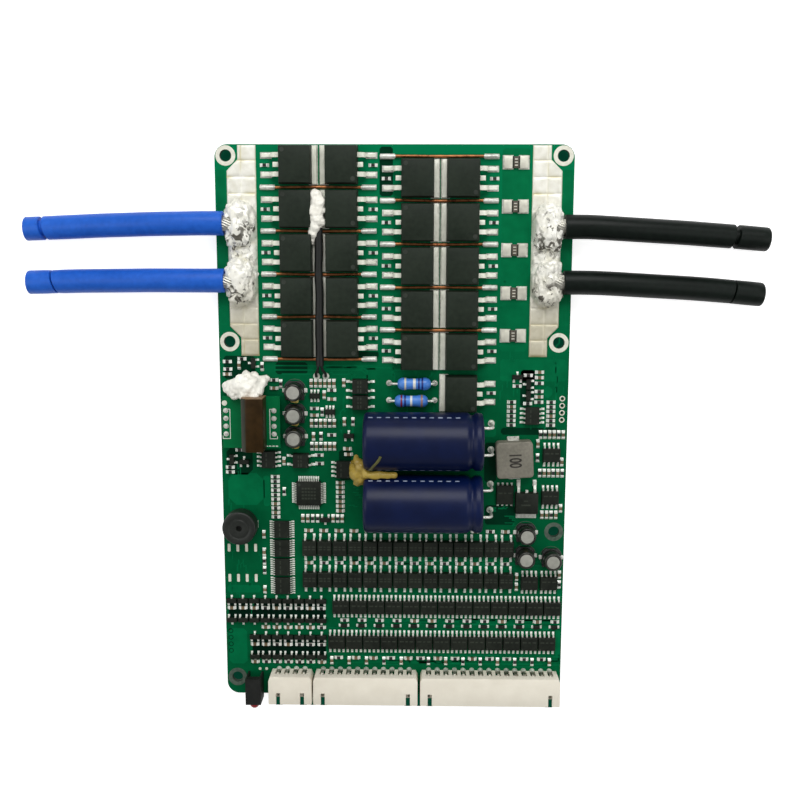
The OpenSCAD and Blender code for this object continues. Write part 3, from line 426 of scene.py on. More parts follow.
def mask_look():
    """Solder mask on both faces, painted lighter towards the top end as a painted sheen, and bare laminate on
    the cut edge.
    """
    made, nodes, links, shader = new_material("solder_mask", rgb(0, 96, 58), 0.38, 0, 0.04)
    mottle = place_grain(nodes, rgb(0, 80, 46), rgb(0, 93, 54), 320, (0.3, 0.45), 0.04)
    spot = nodes.new("ShaderNodeTexCoord")
    upward = nodes.new("ShaderNodeSeparateXYZ")
    links.new(spot.outputs["Object"], upward.inputs[0])
    # Painted sheen: the mask colour is blended towards a lighter green from the bottom end to the top end.
    climb = nodes.new("ShaderNodeMapRange")
    climb.inputs["From Min"].default_value = 0.005
    climb.inputs["From Max"].default_value = 0.085
    links.new(upward.outputs["Y"], climb.inputs["Value"])
    mask_painted_sheen = nodes.new("ShaderNodeMix")
    mask_painted_sheen.data_type = "RGBA"
    mask_painted_sheen.inputs["B"].default_value = (*rgb(0, 118, 74), 1)
    links.new(climb.outputs[0], mask_painted_sheen.inputs["Factor"])
    links.new(mottle.outputs["Color"], mask_painted_sheen.inputs["A"])
    weave = nodes.new("ShaderNodeTexWave")
    weave.inputs["Scale"].default_value = 900
    weave.inputs["Distortion"].default_value = 3
    links.new(spot.outputs["Object"], weave.inputs["Vector"])
    cloth = nodes.new("ShaderNodeMix")
    cloth.data_type = "RGBA"
    cloth.inputs["A"].default_value = (*rgb(112, 118, 66), 1)
    cloth.inputs["B"].default_value = (*rgb(148, 146, 92), 1)
    links.new(weave.outputs["Fac"], cloth.inputs["Factor"])
    facing = nodes.new("ShaderNodeSeparateXYZ")
    links.new(spot.outputs["Normal"], facing.inputs[0])
    flat = nodes.new("ShaderNodeMath")
    flat.operation = "ABSOLUTE"
    links.new(facing.outputs["Z"], flat.inputs[0])
    side = nodes.new("ShaderNodeMath")
    side.operation = "LESS_THAN"
    side.inputs[1].default_value = 0.5
    links.new(flat.outputs[0], side.inputs[0])
    both = nodes.new("ShaderNodeMix")
    both.data_type = "RGBA"
    links.new(side.outputs[0], both.inputs["Factor"])
    links.new(mask_painted_sheen.outputs["Result"], both.inputs["A"])
    links.new(cloth.outputs["Result"], both.inputs["B"])
    links.new(both.outputs["Result"], shader.inputs["Base Color"])
    links.new(mottle.outputs["Roughness"], shader.inputs["Roughness"])
    links.new(mottle.outputs["Normal"], shader.inputs["Normal"])
    return made


def dress(node, look):
    """Gives every material slot of a CAD node one look."""
    for i in range(max(1, len(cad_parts[node].data.materials))):
        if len(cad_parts[node].data.materials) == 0:
            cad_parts[node].data.materials.append(look)
        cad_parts[node].data.materials[i] = look


solder_mask = mask_look()
dress("circuit_board", solder_mask)
copper_mask = grained("mask_over_copper", rgb(0, 94, 56), rgb(0, 110, 66), 320, (0.3, 0.42), 0.04, 0, 0.05)
dark_mask = grained("mask_over_gap", rgb(0, 42, 24), rgb(0, 52, 31), 320, (0.3, 0.45), 0.04, 0, 0.04)
# A near-black mask look that is painted shade among the rows of small parts.
mask_painted_shade = grained("mask_over_shade", rgb(0, 20, 12), rgb(0, 32, 19), 320, (0.3, 0.45), 0.04, 0, 0.04)
tin = grained("tin_plate", rgb(190, 192, 182), rgb(242, 241, 232), 1500, (0.3, 0.45), 0.15, 0.3)
solder = grained("solder", rgb(176, 177, 168), rgb(242, 242, 234), 1200, (0.25, 0.4), 0.35, 0.3)
ink = grained("white_print", rgb(196, 204, 192), rgb(236, 240, 230), 2500, (0.5, 0.65), 0.05, 0, 0.3)


def strip(shape, points, width, height=0.03, look=0, z=0.0):
    """A flat track along points, with round ends and elbows."""
    for a, b in zip(points, points[1:]):
        run = Vector((b[0] - a[0], b[1] - a[1], 0))
        bar = bmesh.ops.create_cube(shape, size=1)["verts"]
        bmesh.ops.scale(shape, vec=(run.length, width, height), verts=bar)
        bmesh.ops.transform(shape, verts=bar, matrix=Matrix.Translation(((a[0] + b[0]) / 2,
            (a[1] + b[1]) / 2, z + height / 2)) @ Matrix.Rotation(math.atan2(run.y, run.x), 4, "Z"))
        for f in {f for v in bar for f in v.link_faces}:
            f.material_index = look
    for p in points:
        dot = bmesh.ops.create_cone(shape, cap_ends=True, segments=10, radius1=width / 2, radius2=width / 2,
            depth=height * 1.02)["verts"]
        bmesh.ops.translate(shape, vec=(p[0], p[1], z + height / 2), verts=dot)
        for f in {f for v in dot for f in v.link_faces}:
            f.material_index = look


def slab(shape, corners, lift, look=0):
    """Carries the face through corners along lift, closes the solid and returns its far vertices."""
    face = shape.faces.new([shape.verts.new(corner) for corner in corners])
    face.material_index = look
    far = verts_of(bmesh.ops.extrude_face_region(shape, geom=[face])["geom"])
    bmesh.ops.translate(shape, vec=lift, verts=far)
    return far


def area(shape, outline, height=0.02, look=0, z=0.0):
    """A flat island of copper under the mask, or of bare tin."""
    lifted = slab(shape, [(x, y, z) for x, y in outline], (0, 0, height), look)
    for side in {f for v in lifted for f in v.link_faces}:
        side.material_index = look


def box_outline(x0, y0, x1, y1, cut=0.6):
    return [(x0 + cut, y0), (x1 - cut, y0), (x1, y0 + cut), (x1, y1 - cut), (x1 - cut, y1), (x0 + cut, y1),
            (x0, y1 - cut), (x0, y0 + cut)]


def turned(profile, steps=32, look_of=None, closed=False):
    """A small mesh made by turning a profile of (radius, height) points about the Z axis."""
    shape = bmesh.new()
    verts = [shape.verts.new((r, 0, h)) for r, h in profile]
    pairs = list(zip(verts, verts[1:])) + ([(verts[-1], verts[0])] if closed else [])
    edges = [shape.edges.new(pair) for pair in pairs]
    bmesh.ops.spin(shape, geom=verts + edges, cent=(0, 0, 0), axis=(0, 0, 1), dvec=(0, 0, 0),
        angle=2 * math.pi, steps=steps, use_merge=True, use_duplicate=False)
    bmesh.ops.remove_doubles(shape, verts=shape.verts, dist=1e-4)
    if look_of:
        for f in shape.faces:
            middle = f.calc_center_median()
            f.material_index = look_of(middle.xy.length, middle.z)
    return as_mesh(shape)


def ring(shape, x, y, inner, outer, height=0.05, look=0, steps=32, z=0.0):
    """A flat washer-shaped pad."""
    unit = turned([(inner, 0), (outer, 0), (outer, height), (inner, height)], steps, lambda r, h: look, True)
    stamp(shape, unit, at(x, y, z))


# Tracks, copper areas and gaps under the mask, and two patches of painted shade among the rows of small parts
# in the lower part of the board
relief = bmesh.new()
for outline, look in ((box_outline(29.5, 14.2, 47.9, 20.3), 0), (box_outline(24.3, -1.6, 28.6, 3.3), 0),
        (box_outline(41.6, 9.6, 44.1, 12.9, 1), 0), (box_outline(-32.9, 15.9, -24, 19.3), 1),
        (box_outline(-46.9, -21.6, -36.6, -12.3, 2.2), 0), (box_outline(30, -0.9, 45.9, 1.1), 1),
        (box_outline(29.2, 22.5, 36.7, 77.2), 0), (box_outline(45.7, 29.5, 48.1, 71.5, 0.3), 0),
        (box_outline(-48.1, 29.5, -45.7, 71.5, 0.3), 0), (box_outline(-3.9, 64.5, -0.3, 77.6), 1),
        (box_outline(-47.9, -47.6, -38.2, -45.3), 0), (box_outline(46.9, -66, 48.2, -46, 0.3), 0),
        (box_outline(-47.8, -69.2, -42.5, -58.4, 1), 0), (box_outline(25.9, -26.9, 34.3, -21.2), 1),
        (box_outline(25.5, -14.5, 28.9, -3.2), 1), (box_outline(-36.9, -21.9, -35.1, -13.1, 0.4), 0),
        (box_outline(-47.6, -56.3, -19.6, -49.4), 2), (box_outline(-41, -67.4, -19.6, -60.3), 2),
        (box_outline(-47.3, 14.5, -38.6, 21), 1), (box_outline(-47.2, -12.8, -39.8, -4.8, 1.5), 1),
        (box_outline(35.2, 7, 39.2, 17.4), 1), (box_outline(-31.5, 20.6, -4.2, 22.3, 0.3), 1),
        (box_outline(-15.4, -14.2, -11.9, -5.5), 1)):
    area(relief, outline, 0.02, look)
maze = random.Random(11)
for x0, y0, x1, y1, count in ((-33, 15.8, -2, 19.6, 7), (-47, -24, -36, -13, 8), (-19, -22, -10.5, -15, 6),
        (25, -27, 34, -22, 6), (-47.5, -57, -38, -45, 8), (-20, -58.5, 47, -55, 30),
        (-20, -69, 47, -66, 34), (-26, -39.5, 34, -37, 26), (-42, -69.5, -18, -67.5, 12),
        (-47, -48, -38, -36, 7), (29, -2, 47, 19, 16), (-24, -6, -10, 14, 14), (-1, 2, 12, 17, 9),
        (-48, 22, -46, 70, 3), (28.8, 22, 37, 76, 12)):
    for _ in range(count):
        x, y = maze.uniform(x0, x1), maze.uniform(y0, y1)
        long = maze.uniform(0.2, 0.6) * (x1 - x0 if maze.random() < 0.6 else y1 - y0)
        along = (1, 0) if x1 - x0 > y1 - y0 else (0, 1)
        bend = maze.choice((-1, 1)) * maze.uniform(0.3, 0.9)
        path = [(x, y), (x + along[0] * long * 0.5, y + along[1] * long * 0.5)]
        path.append((path[1][0] + bend * (1 if along[1] else abs(bend)),
                     path[1][1] + bend * (1 if along[0] else abs(bend))))
        path.append((path[2][0] + along[0] * long * 0.3, path[2][1] + along[1] * long * 0.3))
        path = [(min(max(px, -47.9), 47.9), min(max(py, -70.3), 77.6)) for px, py in path]
        strip(relief, path, maze.choice((0.22, 0.3, 0.45)), 0.024, 0)
for y in (17.1, 18.3):
    strip(relief, [(-33, y), (-9, y), (-7.4, y - 1.2), (-7.4, y - 3.6)], 0.35, 0.026, 0)
make_piece("board_tracks", relief, [copper_mask, dark_mask, mask_painted_shade])

# Bare plated pads and hole rings
plating = bmesh.new()
for x, y in fixing_holes:
    ring(plating, x, y, 1.62, 2.7, 0.05, 0 if y > 0 else 1, 40)
    ring(plating, x, y, 1.56, 1.64, 1.64, 1, 40, -1.6)
for y in (-34.2, -43.2):
    for x in (-47.1, -44.6, -42.1, -39.5):
        area(plating, box_outline(x - 0.4, y - 1.15, x + 0.4, y + 1.15, 0.15), 0.09)
for i in range(4):
    ring(plating, 46.9, 9.4 - 2 * i, 0.5, 0.78, 0.05, 0, 20)
    ring(plating, -47.2, -59.2 - 2 * i, 0.5, 0.72, 0.03, 2, 20)
for x in (-38.9, -37):
    area(plating, box_outline(x - 0.4, -71.1, x + 0.4, -70.3, 0.2), 0.1)
dull_plate = grained("dull_plate", rgb(70, 88, 76), rgb(104, 118, 104), 1200, (0.35, 0.5), 0.1, 0.4)
cream_plate = grained("cream_plate", rgb(214, 213, 196), rgb(240, 239, 224), 1200, (0.4, 0.5), 0.1, 0.2)
make_piece("board_plating", plating, [cream_plate, dull_plate, dark_mask])

# ---------------------------------------------------------------- bus pads
# Two long copper pads flooded with solder in square cells, with rough heaps of solder that hold
# the cable ends. Flux has yellowed the upper cells.


def fed_solder():
    """Solder fed on by hand: pitted and burnt where it was worked, yellow with flux, darker towards the
    bottom.
    """
    made, nodes, links, shader = new_material("bus_solder", rgb(224, 220, 200), 0.4, 0.15)
    mottle = place_grain(nodes, rgb(230, 228, 214), rgb(255, 254, 246), 650, (0.3, 0.5), 0.25)
    worked = nodes.new("ShaderNodeAttribute")
    worked.attribute_name = "worked"
    spot = nodes.new("ShaderNodeTexCoord")
    pits = nodes.new("ShaderNodeTexNoise")
    pits.inputs["Scale"].default_value = 480
    pits.inputs["Detail"].default_value = 7
    pits.inputs["Distortion"].default_value = 1.2
    links.new(spot.outputs["Object"], pits.inputs["Vector"])
    dark_spots = nodes.new("ShaderNodeMapRange")
    dark_spots.inputs["From Min"].default_value = 0.53
    dark_spots.inputs["From Max"].default_value = 0.6
    links.new(pits.outputs["Fac"], dark_spots.inputs["Value"])
    burnt = nodes.new("ShaderNodeMath")
    burnt.operation = "MULTIPLY"
    links.new(dark_spots.outputs[0], burnt.inputs[0])
    links.new(worked.outputs["Fac"], burnt.inputs[1])
    blackened = nodes.new("ShaderNodeMix")
    blackened.data_type = "RGBA"
    blackened.inputs["B"].default_value = (*rgb(92, 89, 80), 1)
    links.new(burnt.outputs[0], blackened.inputs["Factor"])
    links.new(mottle.outputs["Color"], blackened.inputs["A"])
    flux = nodes.new("ShaderNodeAttribute")
    flux.attribute_name = "flux"
    yellowed = nodes.new("ShaderNodeMix")
    yellowed.data_type = "RGBA"
    yellowed.inputs["B"].default_value = (*rgb(200, 190, 138), 1)
    links.new(flux.outputs["Fac"], yellowed.inputs["Factor"])
    links.new(blackened.outputs["Result"], yellowed.inputs["A"])
    # Darker towards the bottom: the colour is multiplied down below the lower joints.
    upward = nodes.new("ShaderNodeSeparateXYZ")
    links.new(spot.outputs["Object"], upward.inputs[0])
    fall = nodes.new("ShaderNodeMapRange")
    fall.inputs["From Min"].default_value = 0.046
    fall.inputs["From Max"].default_value = 0.03
    links.new(upward.outputs["Y"], fall.inputs["Value"])
    lower_darkening = nodes.new("ShaderNodeMix")
    lower_darkening.data_type = "RGBA"
    lower_darkening.blend_type = "MULTIPLY"
    lower_darkening.inputs["B"].default_value = (0.66, 0.63, 0.54, 1)
    links.new(fall.outputs[0], lower_darkening.inputs["Factor"])
    links.new(yellowed.outputs["Result"], lower_darkening.inputs["A"])
    links.new(lower_darkening.outputs["Result"], shader.inputs["Base Color"])
    links.new(mottle.outputs["Roughness"], shader.inputs["Roughness"])
    crust = nodes.new("ShaderNodeBump")
    crust.inputs["Distance"].default_value = 0.0004
    crust.inputs["Strength"].default_value = 0.5
    rough_skin = nodes.new("ShaderNodeMath")
    rough_skin.operation = "MULTIPLY"
    links.new(pits.outputs["Fac"], rough_skin.inputs[0])
    links.new(worked.outputs["Fac"], rough_skin.inputs[1])
    links.new(rough_skin.outputs[0], crust.inputs["Height"])
    links.new(mottle.outputs["Normal"], crust.inputs["Normal"])
    links.new(crust.outputs[0], shader.inputs["Normal"])
    return made


bus_look = fed_solder()


def bus_outer(y):
    """How far the pad reaches outwards at a height: it narrows beside the fixing holes."""
    slope_low = min(max(y - 26.2, 0), 3)
    slope_high = min(max(74.2 - y, 0), 3)
    return 42.3 + min(slope_low, slope_high)


def bus_pad(side, joints):
    pad = bmesh.new()
    bmesh.ops.create_grid(pad, x_segments=44, y_segments=300, size=0.5)
    worked_here = {}
    flux_here = {}
    for v in pad.verts:
        u = v.co.x + 0.5
        y = 21 + (v.co.y + 0.5) * 57
        outer = bus_outer(y)
        x = 37.3 + u * (outer - 37.3)
        rim = min(1, u * 9, (1 - u) * 9, (y - 21) * 1.8, (78 - y) * 1.8)
        rim = math.sqrt(max(0, 1 - (1 - rim) ** 2))
        row = ((y - 21.2) / 4.4) % 1
        column = ((x - 37.3) / 4.1) % 1
        pillow = (1 - abs(2 * row - 1) ** 7) * (1 - 0.7 * abs(2 * column - 1) ** 9)
        height = 0.12 + 0.3 * pillow + 0.06 * noise.noise(Vector((x * 0.5, y * 0.5, side)))
        stain = 0.5 + 0.9 * noise.noise(Vector((x * 0.35, y * 0.35, 4 + side)))
        flux_here[v.index] = max(0, min(1, stain * (1.15 - pillow) * (0.9 if y > 62 or y < 30 else 0.3)))
        rough = 0.0
        for joint, tall in joints:
            dx, dy = (x - 41.4) / 4.6, (y - joint) / 6.4
            dy = dy if dy > 0 else dy * 0.86
            far = math.sqrt(dx * dx + dy * dy)
            lumps = noise.fractal(Vector((x * 0.55, y * 0.55, side * 9)), 1.0, 2.1, 4)
            heap = tall * max(0, 1 - far ** 2.4) ** 0.75
            crest = max(0, 1 - (dy * 1.35) ** 2) * max(0, 1 - far ** 6)
            rough = max(rough, min(1, max(0, 1.25 - far)) * 0.8)
            height = max(height, heap * (1 + 0.16 * lumps) * (0.75 + 0.25 * crest)
                + min(1, heap) * 0.2 * lumps)
        v.co = (side * x, y, max(0.02, height * rim))
        worked_here[v.index] = min(1, rough)
    marks = pad.verts.layers.float.new("worked")
    stains = pad.verts.layers.float.new("flux")
    for v in pad.verts:
        v[marks] = worked_here.get(v.index, 0)
        v[stains] = flux_here.get(v.index, 0)
    border = [e for e in pad.edges if e.is_boundary]
    for v in verts_of(bmesh.ops.extrude_edge_only(pad, edges=border)["geom"]):
        v.co.z = 0
    bmesh.ops.holes_fill(pad, edges=[e for e in pad.edges if e.is_boundary], sides=0)
    name = "bus_solder_left" if side < 0 else "bus_solder_right"
    return make_piece(name, pad, [bus_look], ["bus_pad_left" if side < 0 else "bus_pad_right"],
        sharp=75)


bus_pad(-1, ((57.15, 5.2), (49.4, 2.6), (41.85, 5.2)))
bus_pad(1, ((56.35, 5.2), (48.9, 2.6), (41.55, 5.2)))

# ---------------------------------------------------------------- power transistors
# Surface-mount packages: an epoxy body on a tinned copper tab that is soldered down, with two
# cropped and shouldered leads, a stub between them, and solder round each foot.
epoxy = grained("epoxy", rgb(22, 31, 22), rgb(34, 43, 33), 800, (0.42, 0.6), 0.12, 0, 0.2)
worn_epoxy = grained("moulding_mark", rgb(34, 40, 33), rgb(46, 52, 43), 900, (0.35, 0.5), 0.05, 0, 0.4)
tab_tin = grained("tab_tin", rgb(216, 217, 200), rgb(248, 248, 234), 420, (0.35, 0.5), 0.12, 0.12)


def block_of(size):
    """A plain block about the origin."""
    made = bmesh.new()
    bmesh.ops.create_cube(made, size=1)
    bmesh.ops.scale(made, vec=size, verts=made.verts)
    return made


def round_edges(shape, edges, offset, segments, clamp=True):
    """Bevels edges, held back where a wall is too thin unless clamp is off."""
    bmesh.ops.bevel(shape, geom=edges, offset=offset, offset_type="OFFSET", segments=segments, profile=0.5,
                    affect="EDGES", material=-1, clamp_overlap=clamp)


def add_box(shape, size, place, bevel=0.0, look=0, segments=2, taper=0.0):
    """A block that stands on its place, with drafted sides and rounded edges."""
    made = block_of(size)
    for v in made.verts:
        if v.co.z > 0:
            v.co.x -= math.copysign(taper, v.co.x)
            v.co.y -= math.copysign(taper, v.co.y)
    if bevel:
        round_edges(made, made.edges[:], bevel, segments)
    for f in made.faces:
        f.material_index = look
    stamp(shape, as_mesh(made), at(place[0], place[1], place[2] + size[2] / 2))


def add_plate(shape, outline, width, middle, look=0, bevel=0.0):
    """A profile in the XZ plane carried across Y."""
    made = bmesh.new()
    slab(made, [(x, -width / 2, z) for x, z in outline], (0, width, 0))
    if bevel:
        round_edges(made, made.edges[:], bevel, 1)
    for f in made.faces:
        f.material_index = look
    stamp(shape, as_mesh(made), at(0, middle))


def transistor_mesh():
    unit = bmesh.new()
    add_box(unit, (8.9, 10.2, 2.2), (0, 0, 0.1), 0.12, 0, 1, 0.0)
    add_box(unit, (8.86, 10.16, 2.3), (0, 0, 2.1), 0.16, 0, 2, 0.26)
    stamp(unit, turned([(0, 0), (0.55, 0), (0.62, 0.03), (0, 0.03)], 20, lambda r, h: 1),
        at(-3.2, 3.8, 4.395))
    add_box(unit, (2.15, 10.0, 1.27), (4.65, 0, 0), 0.1, 2, 2)
    for y in (-3.3, 3.3):
        add_box(unit, (0.5, 1.5, 0.5), (5.5, y, 0.86), 0.08, 2, 1)
    add_box(unit, (2.5, 10.5, 0.12), (4.75, 0, 0), 0.04, 3, 1)
    for y in (-2.54, 2.54):
        add_plate(unit, [(-4.3, 2.72), (-5.6, 2.72), (-6.3, 2.3), (-6.62, 1.5), (-6.62, 0.9), (-6.1, 0.9),
            (-5.85, 1.8), (-5.4, 2.14), (-4.3, 2.14)], 1.3, y, 2, 0.07)
        add_plate(unit, [(-6.3, 1.6), (-6.62, 1.35), (-7.35, 0.62), (-9.2, 0.62), (-9.3, 0.1), (-6.9, 0.1),
            (-6.2, 0.9)], 0.85, y, 2, 0.05)
        add_box(unit, (2.75, 1.5, 0.5), (-8.05, y, 0), 0.22, 3, 3, 0.1)
        add_box(unit, (3.1, 1.7, 0.07), (-8.05, y, 0), 0.03, 3, 1)
    add_box(unit, (1.5, 1.3, 0.62), (-5.15, 0, 2.1), 0.08, 2, 2)
    return as_mesh(unit)


transistor = transistor_mesh()
row_pitch = 11.66
transistor_columns = {"a": (-26.5, 0, 72.7, 5), "b": (-14.1, 180, 72.7, 5), "c": (6.4, 0, 69.2, 5),
    "d": (18.65, 180, 69.2, 6)}
for column, (x, turn, first, rows) in transistor_columns.items():
    for row in range(rows):
        body = bmesh.new()
        stamp(body, transistor, at(x, first - row * row_pitch, 0, turn))
        name = "mosfet_%s%d" % (column, row + 1)
        make_piece(name + "_package", body, [epoxy, worn_epoxy, tab_tin, solder], [name])

# ---------------------------------------------------------------- copper links
# Bare copper wires of 1 mm laid in the gaps between the rows, soldered at both ends to carry
# part of the current past the tracks.
copper = grained("bare_copper", rgb(116, 66, 38), rgb(196, 128, 80), 900, (0.25, 0.4), 0.15, 0.75)
links_mesh = bmesh.new()
tinned_ends = bmesh.new()
# (distance along the wire, height, radius) of the solder that coats each end
coat_rings = ((-0.35, 0.5, 0.2), (-0.2, 0.58, 0.45), (0.3, 0.62, 0.58), (1.2, 0.6, 0.6), (2.2, 0.64, 0.57),
              (3.2, 0.64, 0.52), (3.9, 0.65, 0.44))
for x0, x1, rows, first in ((-36, -5, range(0, 5), 72.7), (-3.5, 28, range(-1, 4), 69.2)):
    for row in rows:
        y = first - (row + 0.5) * row_pitch
        sway = maze.uniform(-0.12, 0.12)
        line = smooth_line([(x0, y, 0.62), (x0 + 5, y + sway, 0.66), ((x0 + x1) / 2, y - sway, 0.7),
            (x1 - 6, y + sway * 0.5, 0.64), (x1, y, 0.6)], 1.6)
        sweep(links_mesh, [(p, d, 0.4) for p, d in zip(line, directions(line))], 12)
        for side, x in ((1, x0), (-1, x1)):
            coat = [((x + side * d, y, h), (side, 0, 0), r) for d, h, r in coat_rings]
            sweep(tinned_ends, coat, 14)
            add_box(tinned_ends, (4.1, 1.5, 0.3), (x + side * 1.7, y, 0), 0.12, 0, 2, 0.1)
make_piece("copper_link_wires", links_mesh, [copper], ["copper_links"])
make_piece("copper_link_solder", tinned_ends, [solder])

# ---------------------------------------------------------------- current-sense resistors
# Low-value metal strip resistors: broad tinned terminals with a narrow dark element between.
shunt_dark = grained("resistor_element", rgb(40, 36, 30), rgb(92, 84, 70), 2600, (0.4, 0.6), 0.3)
shunt_tin = grained("terminal_tin", rgb(188, 186, 172), rgb(228, 226, 210), 500, (0.3, 0.45), 0.1, 0.35)
shunts = bmesh.new()
for row in range(5):
    y = 73.5 - row * row_pitch
    for side in (-1, 1):
        add_box(shunts, (2.35, 3.3, 0.7), (32.8 + side * 2.1, y, 0), 0.12, 0, 2)
        add_box(shunts, (2.9, 3.75, 0.14), (32.8 + side * 2.15, y, 0), 0.05, 2, 1)
    add_box(shunts, (1.9, 3.1, 0.74), (32.8, y, 0.02), 0.1, 1, 2)
    for side in (-1, 1):
        add_box(shunts, (0.28, 3.2, 0.05), (32.8 + side * 0.86, y, 0.74), 0.02, 3, 1)
    for k in range(3):
        add_box(shunts, (0.8, 0.28, 0.02), (32.8, y - 0.8 + 0.8 * k, 0.745), 0.0, 0, 1)
make_piece("shunt_resistor_set", shunts, [shunt_tin, shunt_dark, solder, epoxy],
    ["shunt_resistors"])

# ---------------------------------------------------------------- storage capacitors
# Two aluminium cans in navy heat-shrunk sleeves that lie side by side, rubber bung to the right.
# The crimp groove shows through the sleeve, and pale dashes mark the negative side.
sleeve = grained("navy_sleeve", rgb(0, 11, 46), rgb(2, 20, 64), 160, (0.32, 0.4), 0.03, 0, 0.26)
bare_can = grained("can_aluminium", rgb(140, 140, 136), rgb(196, 195, 190), 1100, (0.25, 0.4), 0.08, 0.9)
bung = grained("rubber_bung", rgb(18, 18, 18), rgb(34, 34, 33), 900, (0.6, 0.8), 0.2)
wire_tin = grained("tinned_wire", rgb(180, 181, 173), rgb(240, 240, 232), 1300, (0.22, 0.36), 0.1, 0.45)
dash_ink = grained("sleeve_print", rgb(120, 134, 160), rgb(170, 180, 200), 2600, (0.4, 0.6), 0.05)
cap_profile = [(0, 0.7), (5.5, 0.7), (5.8, 0.66), (6.0, 0.3), (6.3, 0.06), (6.9, 0), (7.45, 0.12),
    (7.8, 0.45), (7.9, 0.9), (7.9, 1.9), (7.7, 2.3), (7.36, 2.65), (7.26, 3.0), (7.34, 3.35), (7.65, 3.75),
    (7.93, 4.2), (8, 4.8), (8, 10), (8, 20), (8, 31.2), (7.93, 31.7), (7.65, 32.15), (7.2, 32.4),
    (6.7, 32.5), (6.35, 32.42), (6.15, 32.15), (0, 32.1)]


def cap_look(radius, height):
    if height < 0.68 and radius < 5.9 or height < 0.75 and radius < 5.6:
        return 2
    return 1 if radius < 6.1 and height > 32 else 0


cap_unit = turned(cap_profile, 72, cap_look)
can_axis = 8.1
can_end = 24.5
can_rows = {"upper": -1.4, "lower": -18.8}
lead_row = 27.3
lead_half = 3.75
lie_down = Matrix.Translation((can_end, 0, can_axis)) @ Matrix.Rotation(math.radians(-90), 4, "Y")


def bent_lead(shape, path, radius, sides=10, look=0):
    line = smooth_line(path, 0.35)
    sweep(shape, [(p, d, radius) for p, d in zip(line, directions(line))], sides, look)


def solder_cone(shape, x, y, foot=0.85, neck=0.4, height=0.7, look=0, z=0.0, flip=False):
    """A fillet of solder that climbs a wire from its pad."""
    unit = turned([(0, 0), (foot, 0), (foot, 0.05), (foot * 0.78, height * 0.22),
        (neck + (foot - neck) * 0.2, height * 0.55), (neck, height), (0, height)], 14, lambda r, h: look)
    stamp(shape, unit, at(x, y, z) @ (Matrix.Rotation(math.pi, 4, "X") if flip else Matrix.Identity(4)))


for row, y in can_rows.items():
    cap = bmesh.new()
    stamp(cap, cap_unit, Matrix.Translation((0, y, 0)) @ lie_down)
    for angle in (0, 90):
        slot_turn = Matrix.Rotation(math.radians(angle), 4, "X")
        groove = block_of((0.06, 9, 0.35))
        for f in groove.faces:
            f.material_index = 2
        stamp(cap, as_mesh(groove), Matrix.Translation((-7.6, y, can_axis)) @ slot_turn)
    for lean in (-64, 66):
        for k in range(11):
            dash = block_of((1.15, 0.42, 0.03))
            for f in dash.faces:
                f.material_index = 4
            stamp(cap, as_mesh(dash), Matrix.Translation((0, y, can_axis))
                  @ Matrix.Rotation(math.radians(lean), 4, "X")
                  @ Matrix.Translation((-6 + 2.35 * k, 0, 7.995)))
    for side in (-lead_half, lead_half):
        bent_lead(cap, [(23.6, y + side, can_axis), (25.4, y + side, can_axis), (26.7, y + side, 7.8),
                        (27.25, y + side, 6.9), (lead_row, y + side, 5.4), (lead_row, y + side, 2),
                        (lead_row, y + side, -3)], 0.4, 12, 3)
    make_piece("storage_can_" + row, cap, [sleeve, bare_can, bung, wire_tin, dash_ink],
        ["storage_capacitor_" + row])

# ---------------------------------------------------------------- small can capacitors
# Surface-mount aluminium cans on black bases, curled over at the waist, each with a thin dark grey ring round
# it on the board and three small yellow lumps at one side.
can_top = grained("can_top", rgb(146, 147, 138), rgb(176, 176, 166), 900, (0.4, 0.55), 0.1, 0.35)
# The can's side takes a dark metal look: painted shade and reflection on the bright aluminium wall.
can_side_painted_shade = grained("can_side_painted_shade", rgb(26, 28, 25), rgb(70, 71, 66), 700, (0.22, 0.35), 0.05, 0.7)
base_black = grained("base_black", rgb(20, 21, 20), rgb(34, 35, 33), 900, (0.45, 0.65), 0.1)
yellow_bit_look = grained("yellow_lumps", rgb(150, 128, 52), rgb(206, 188, 104), 260, (0.25, 0.4), 0.15)
can_unit = turned([(0, 0.9), (2.4, 0.9), (2.5, 1.05), (2.5, 1.35), (2.36, 1.55), (2.24, 1.75), (2.26, 1.95),
    (2.42, 2.15), (2.5, 2.35), (2.5, 4.75), (2.46, 4.98), (2.34, 5.16), (2.18, 5.26), (2.05, 5.28),
    (1.98, 5.24), (1.9, 5.24), (1.78, 5.25), (0, 5.26)], 40, lambda r, h: 0 if r < 1.8 and h > 5.1 else 1)
base_unit = bmesh.new()
plan = [(-2.65, -2.65), (2.65, -2.65), (2.65, 1.75), (1.75, 2.65), (-1.75, 2.65), (-2.65, 1.75)]
slab(base_unit, [(x, y, 0.1) for x, y in plan], (0, 0, 0.95))
round_edges(base_unit, base_unit.edges[:], 0.12, 2, False)
for x, y in ((-2.2, -2.2), (2.2, -2.2), (2.1, 1.4), (-2.1, 1.4)):
    add_box(base_unit, (0.7, 0.7, 0.45), (x, y, 0.95), 0.12, 0, 1)
base_mesh = as_mesh(base_unit)
cans = bmesh.new()
bases = bmesh.new()
yellow_bits = bmesh.new()
can_rings = bmesh.new()
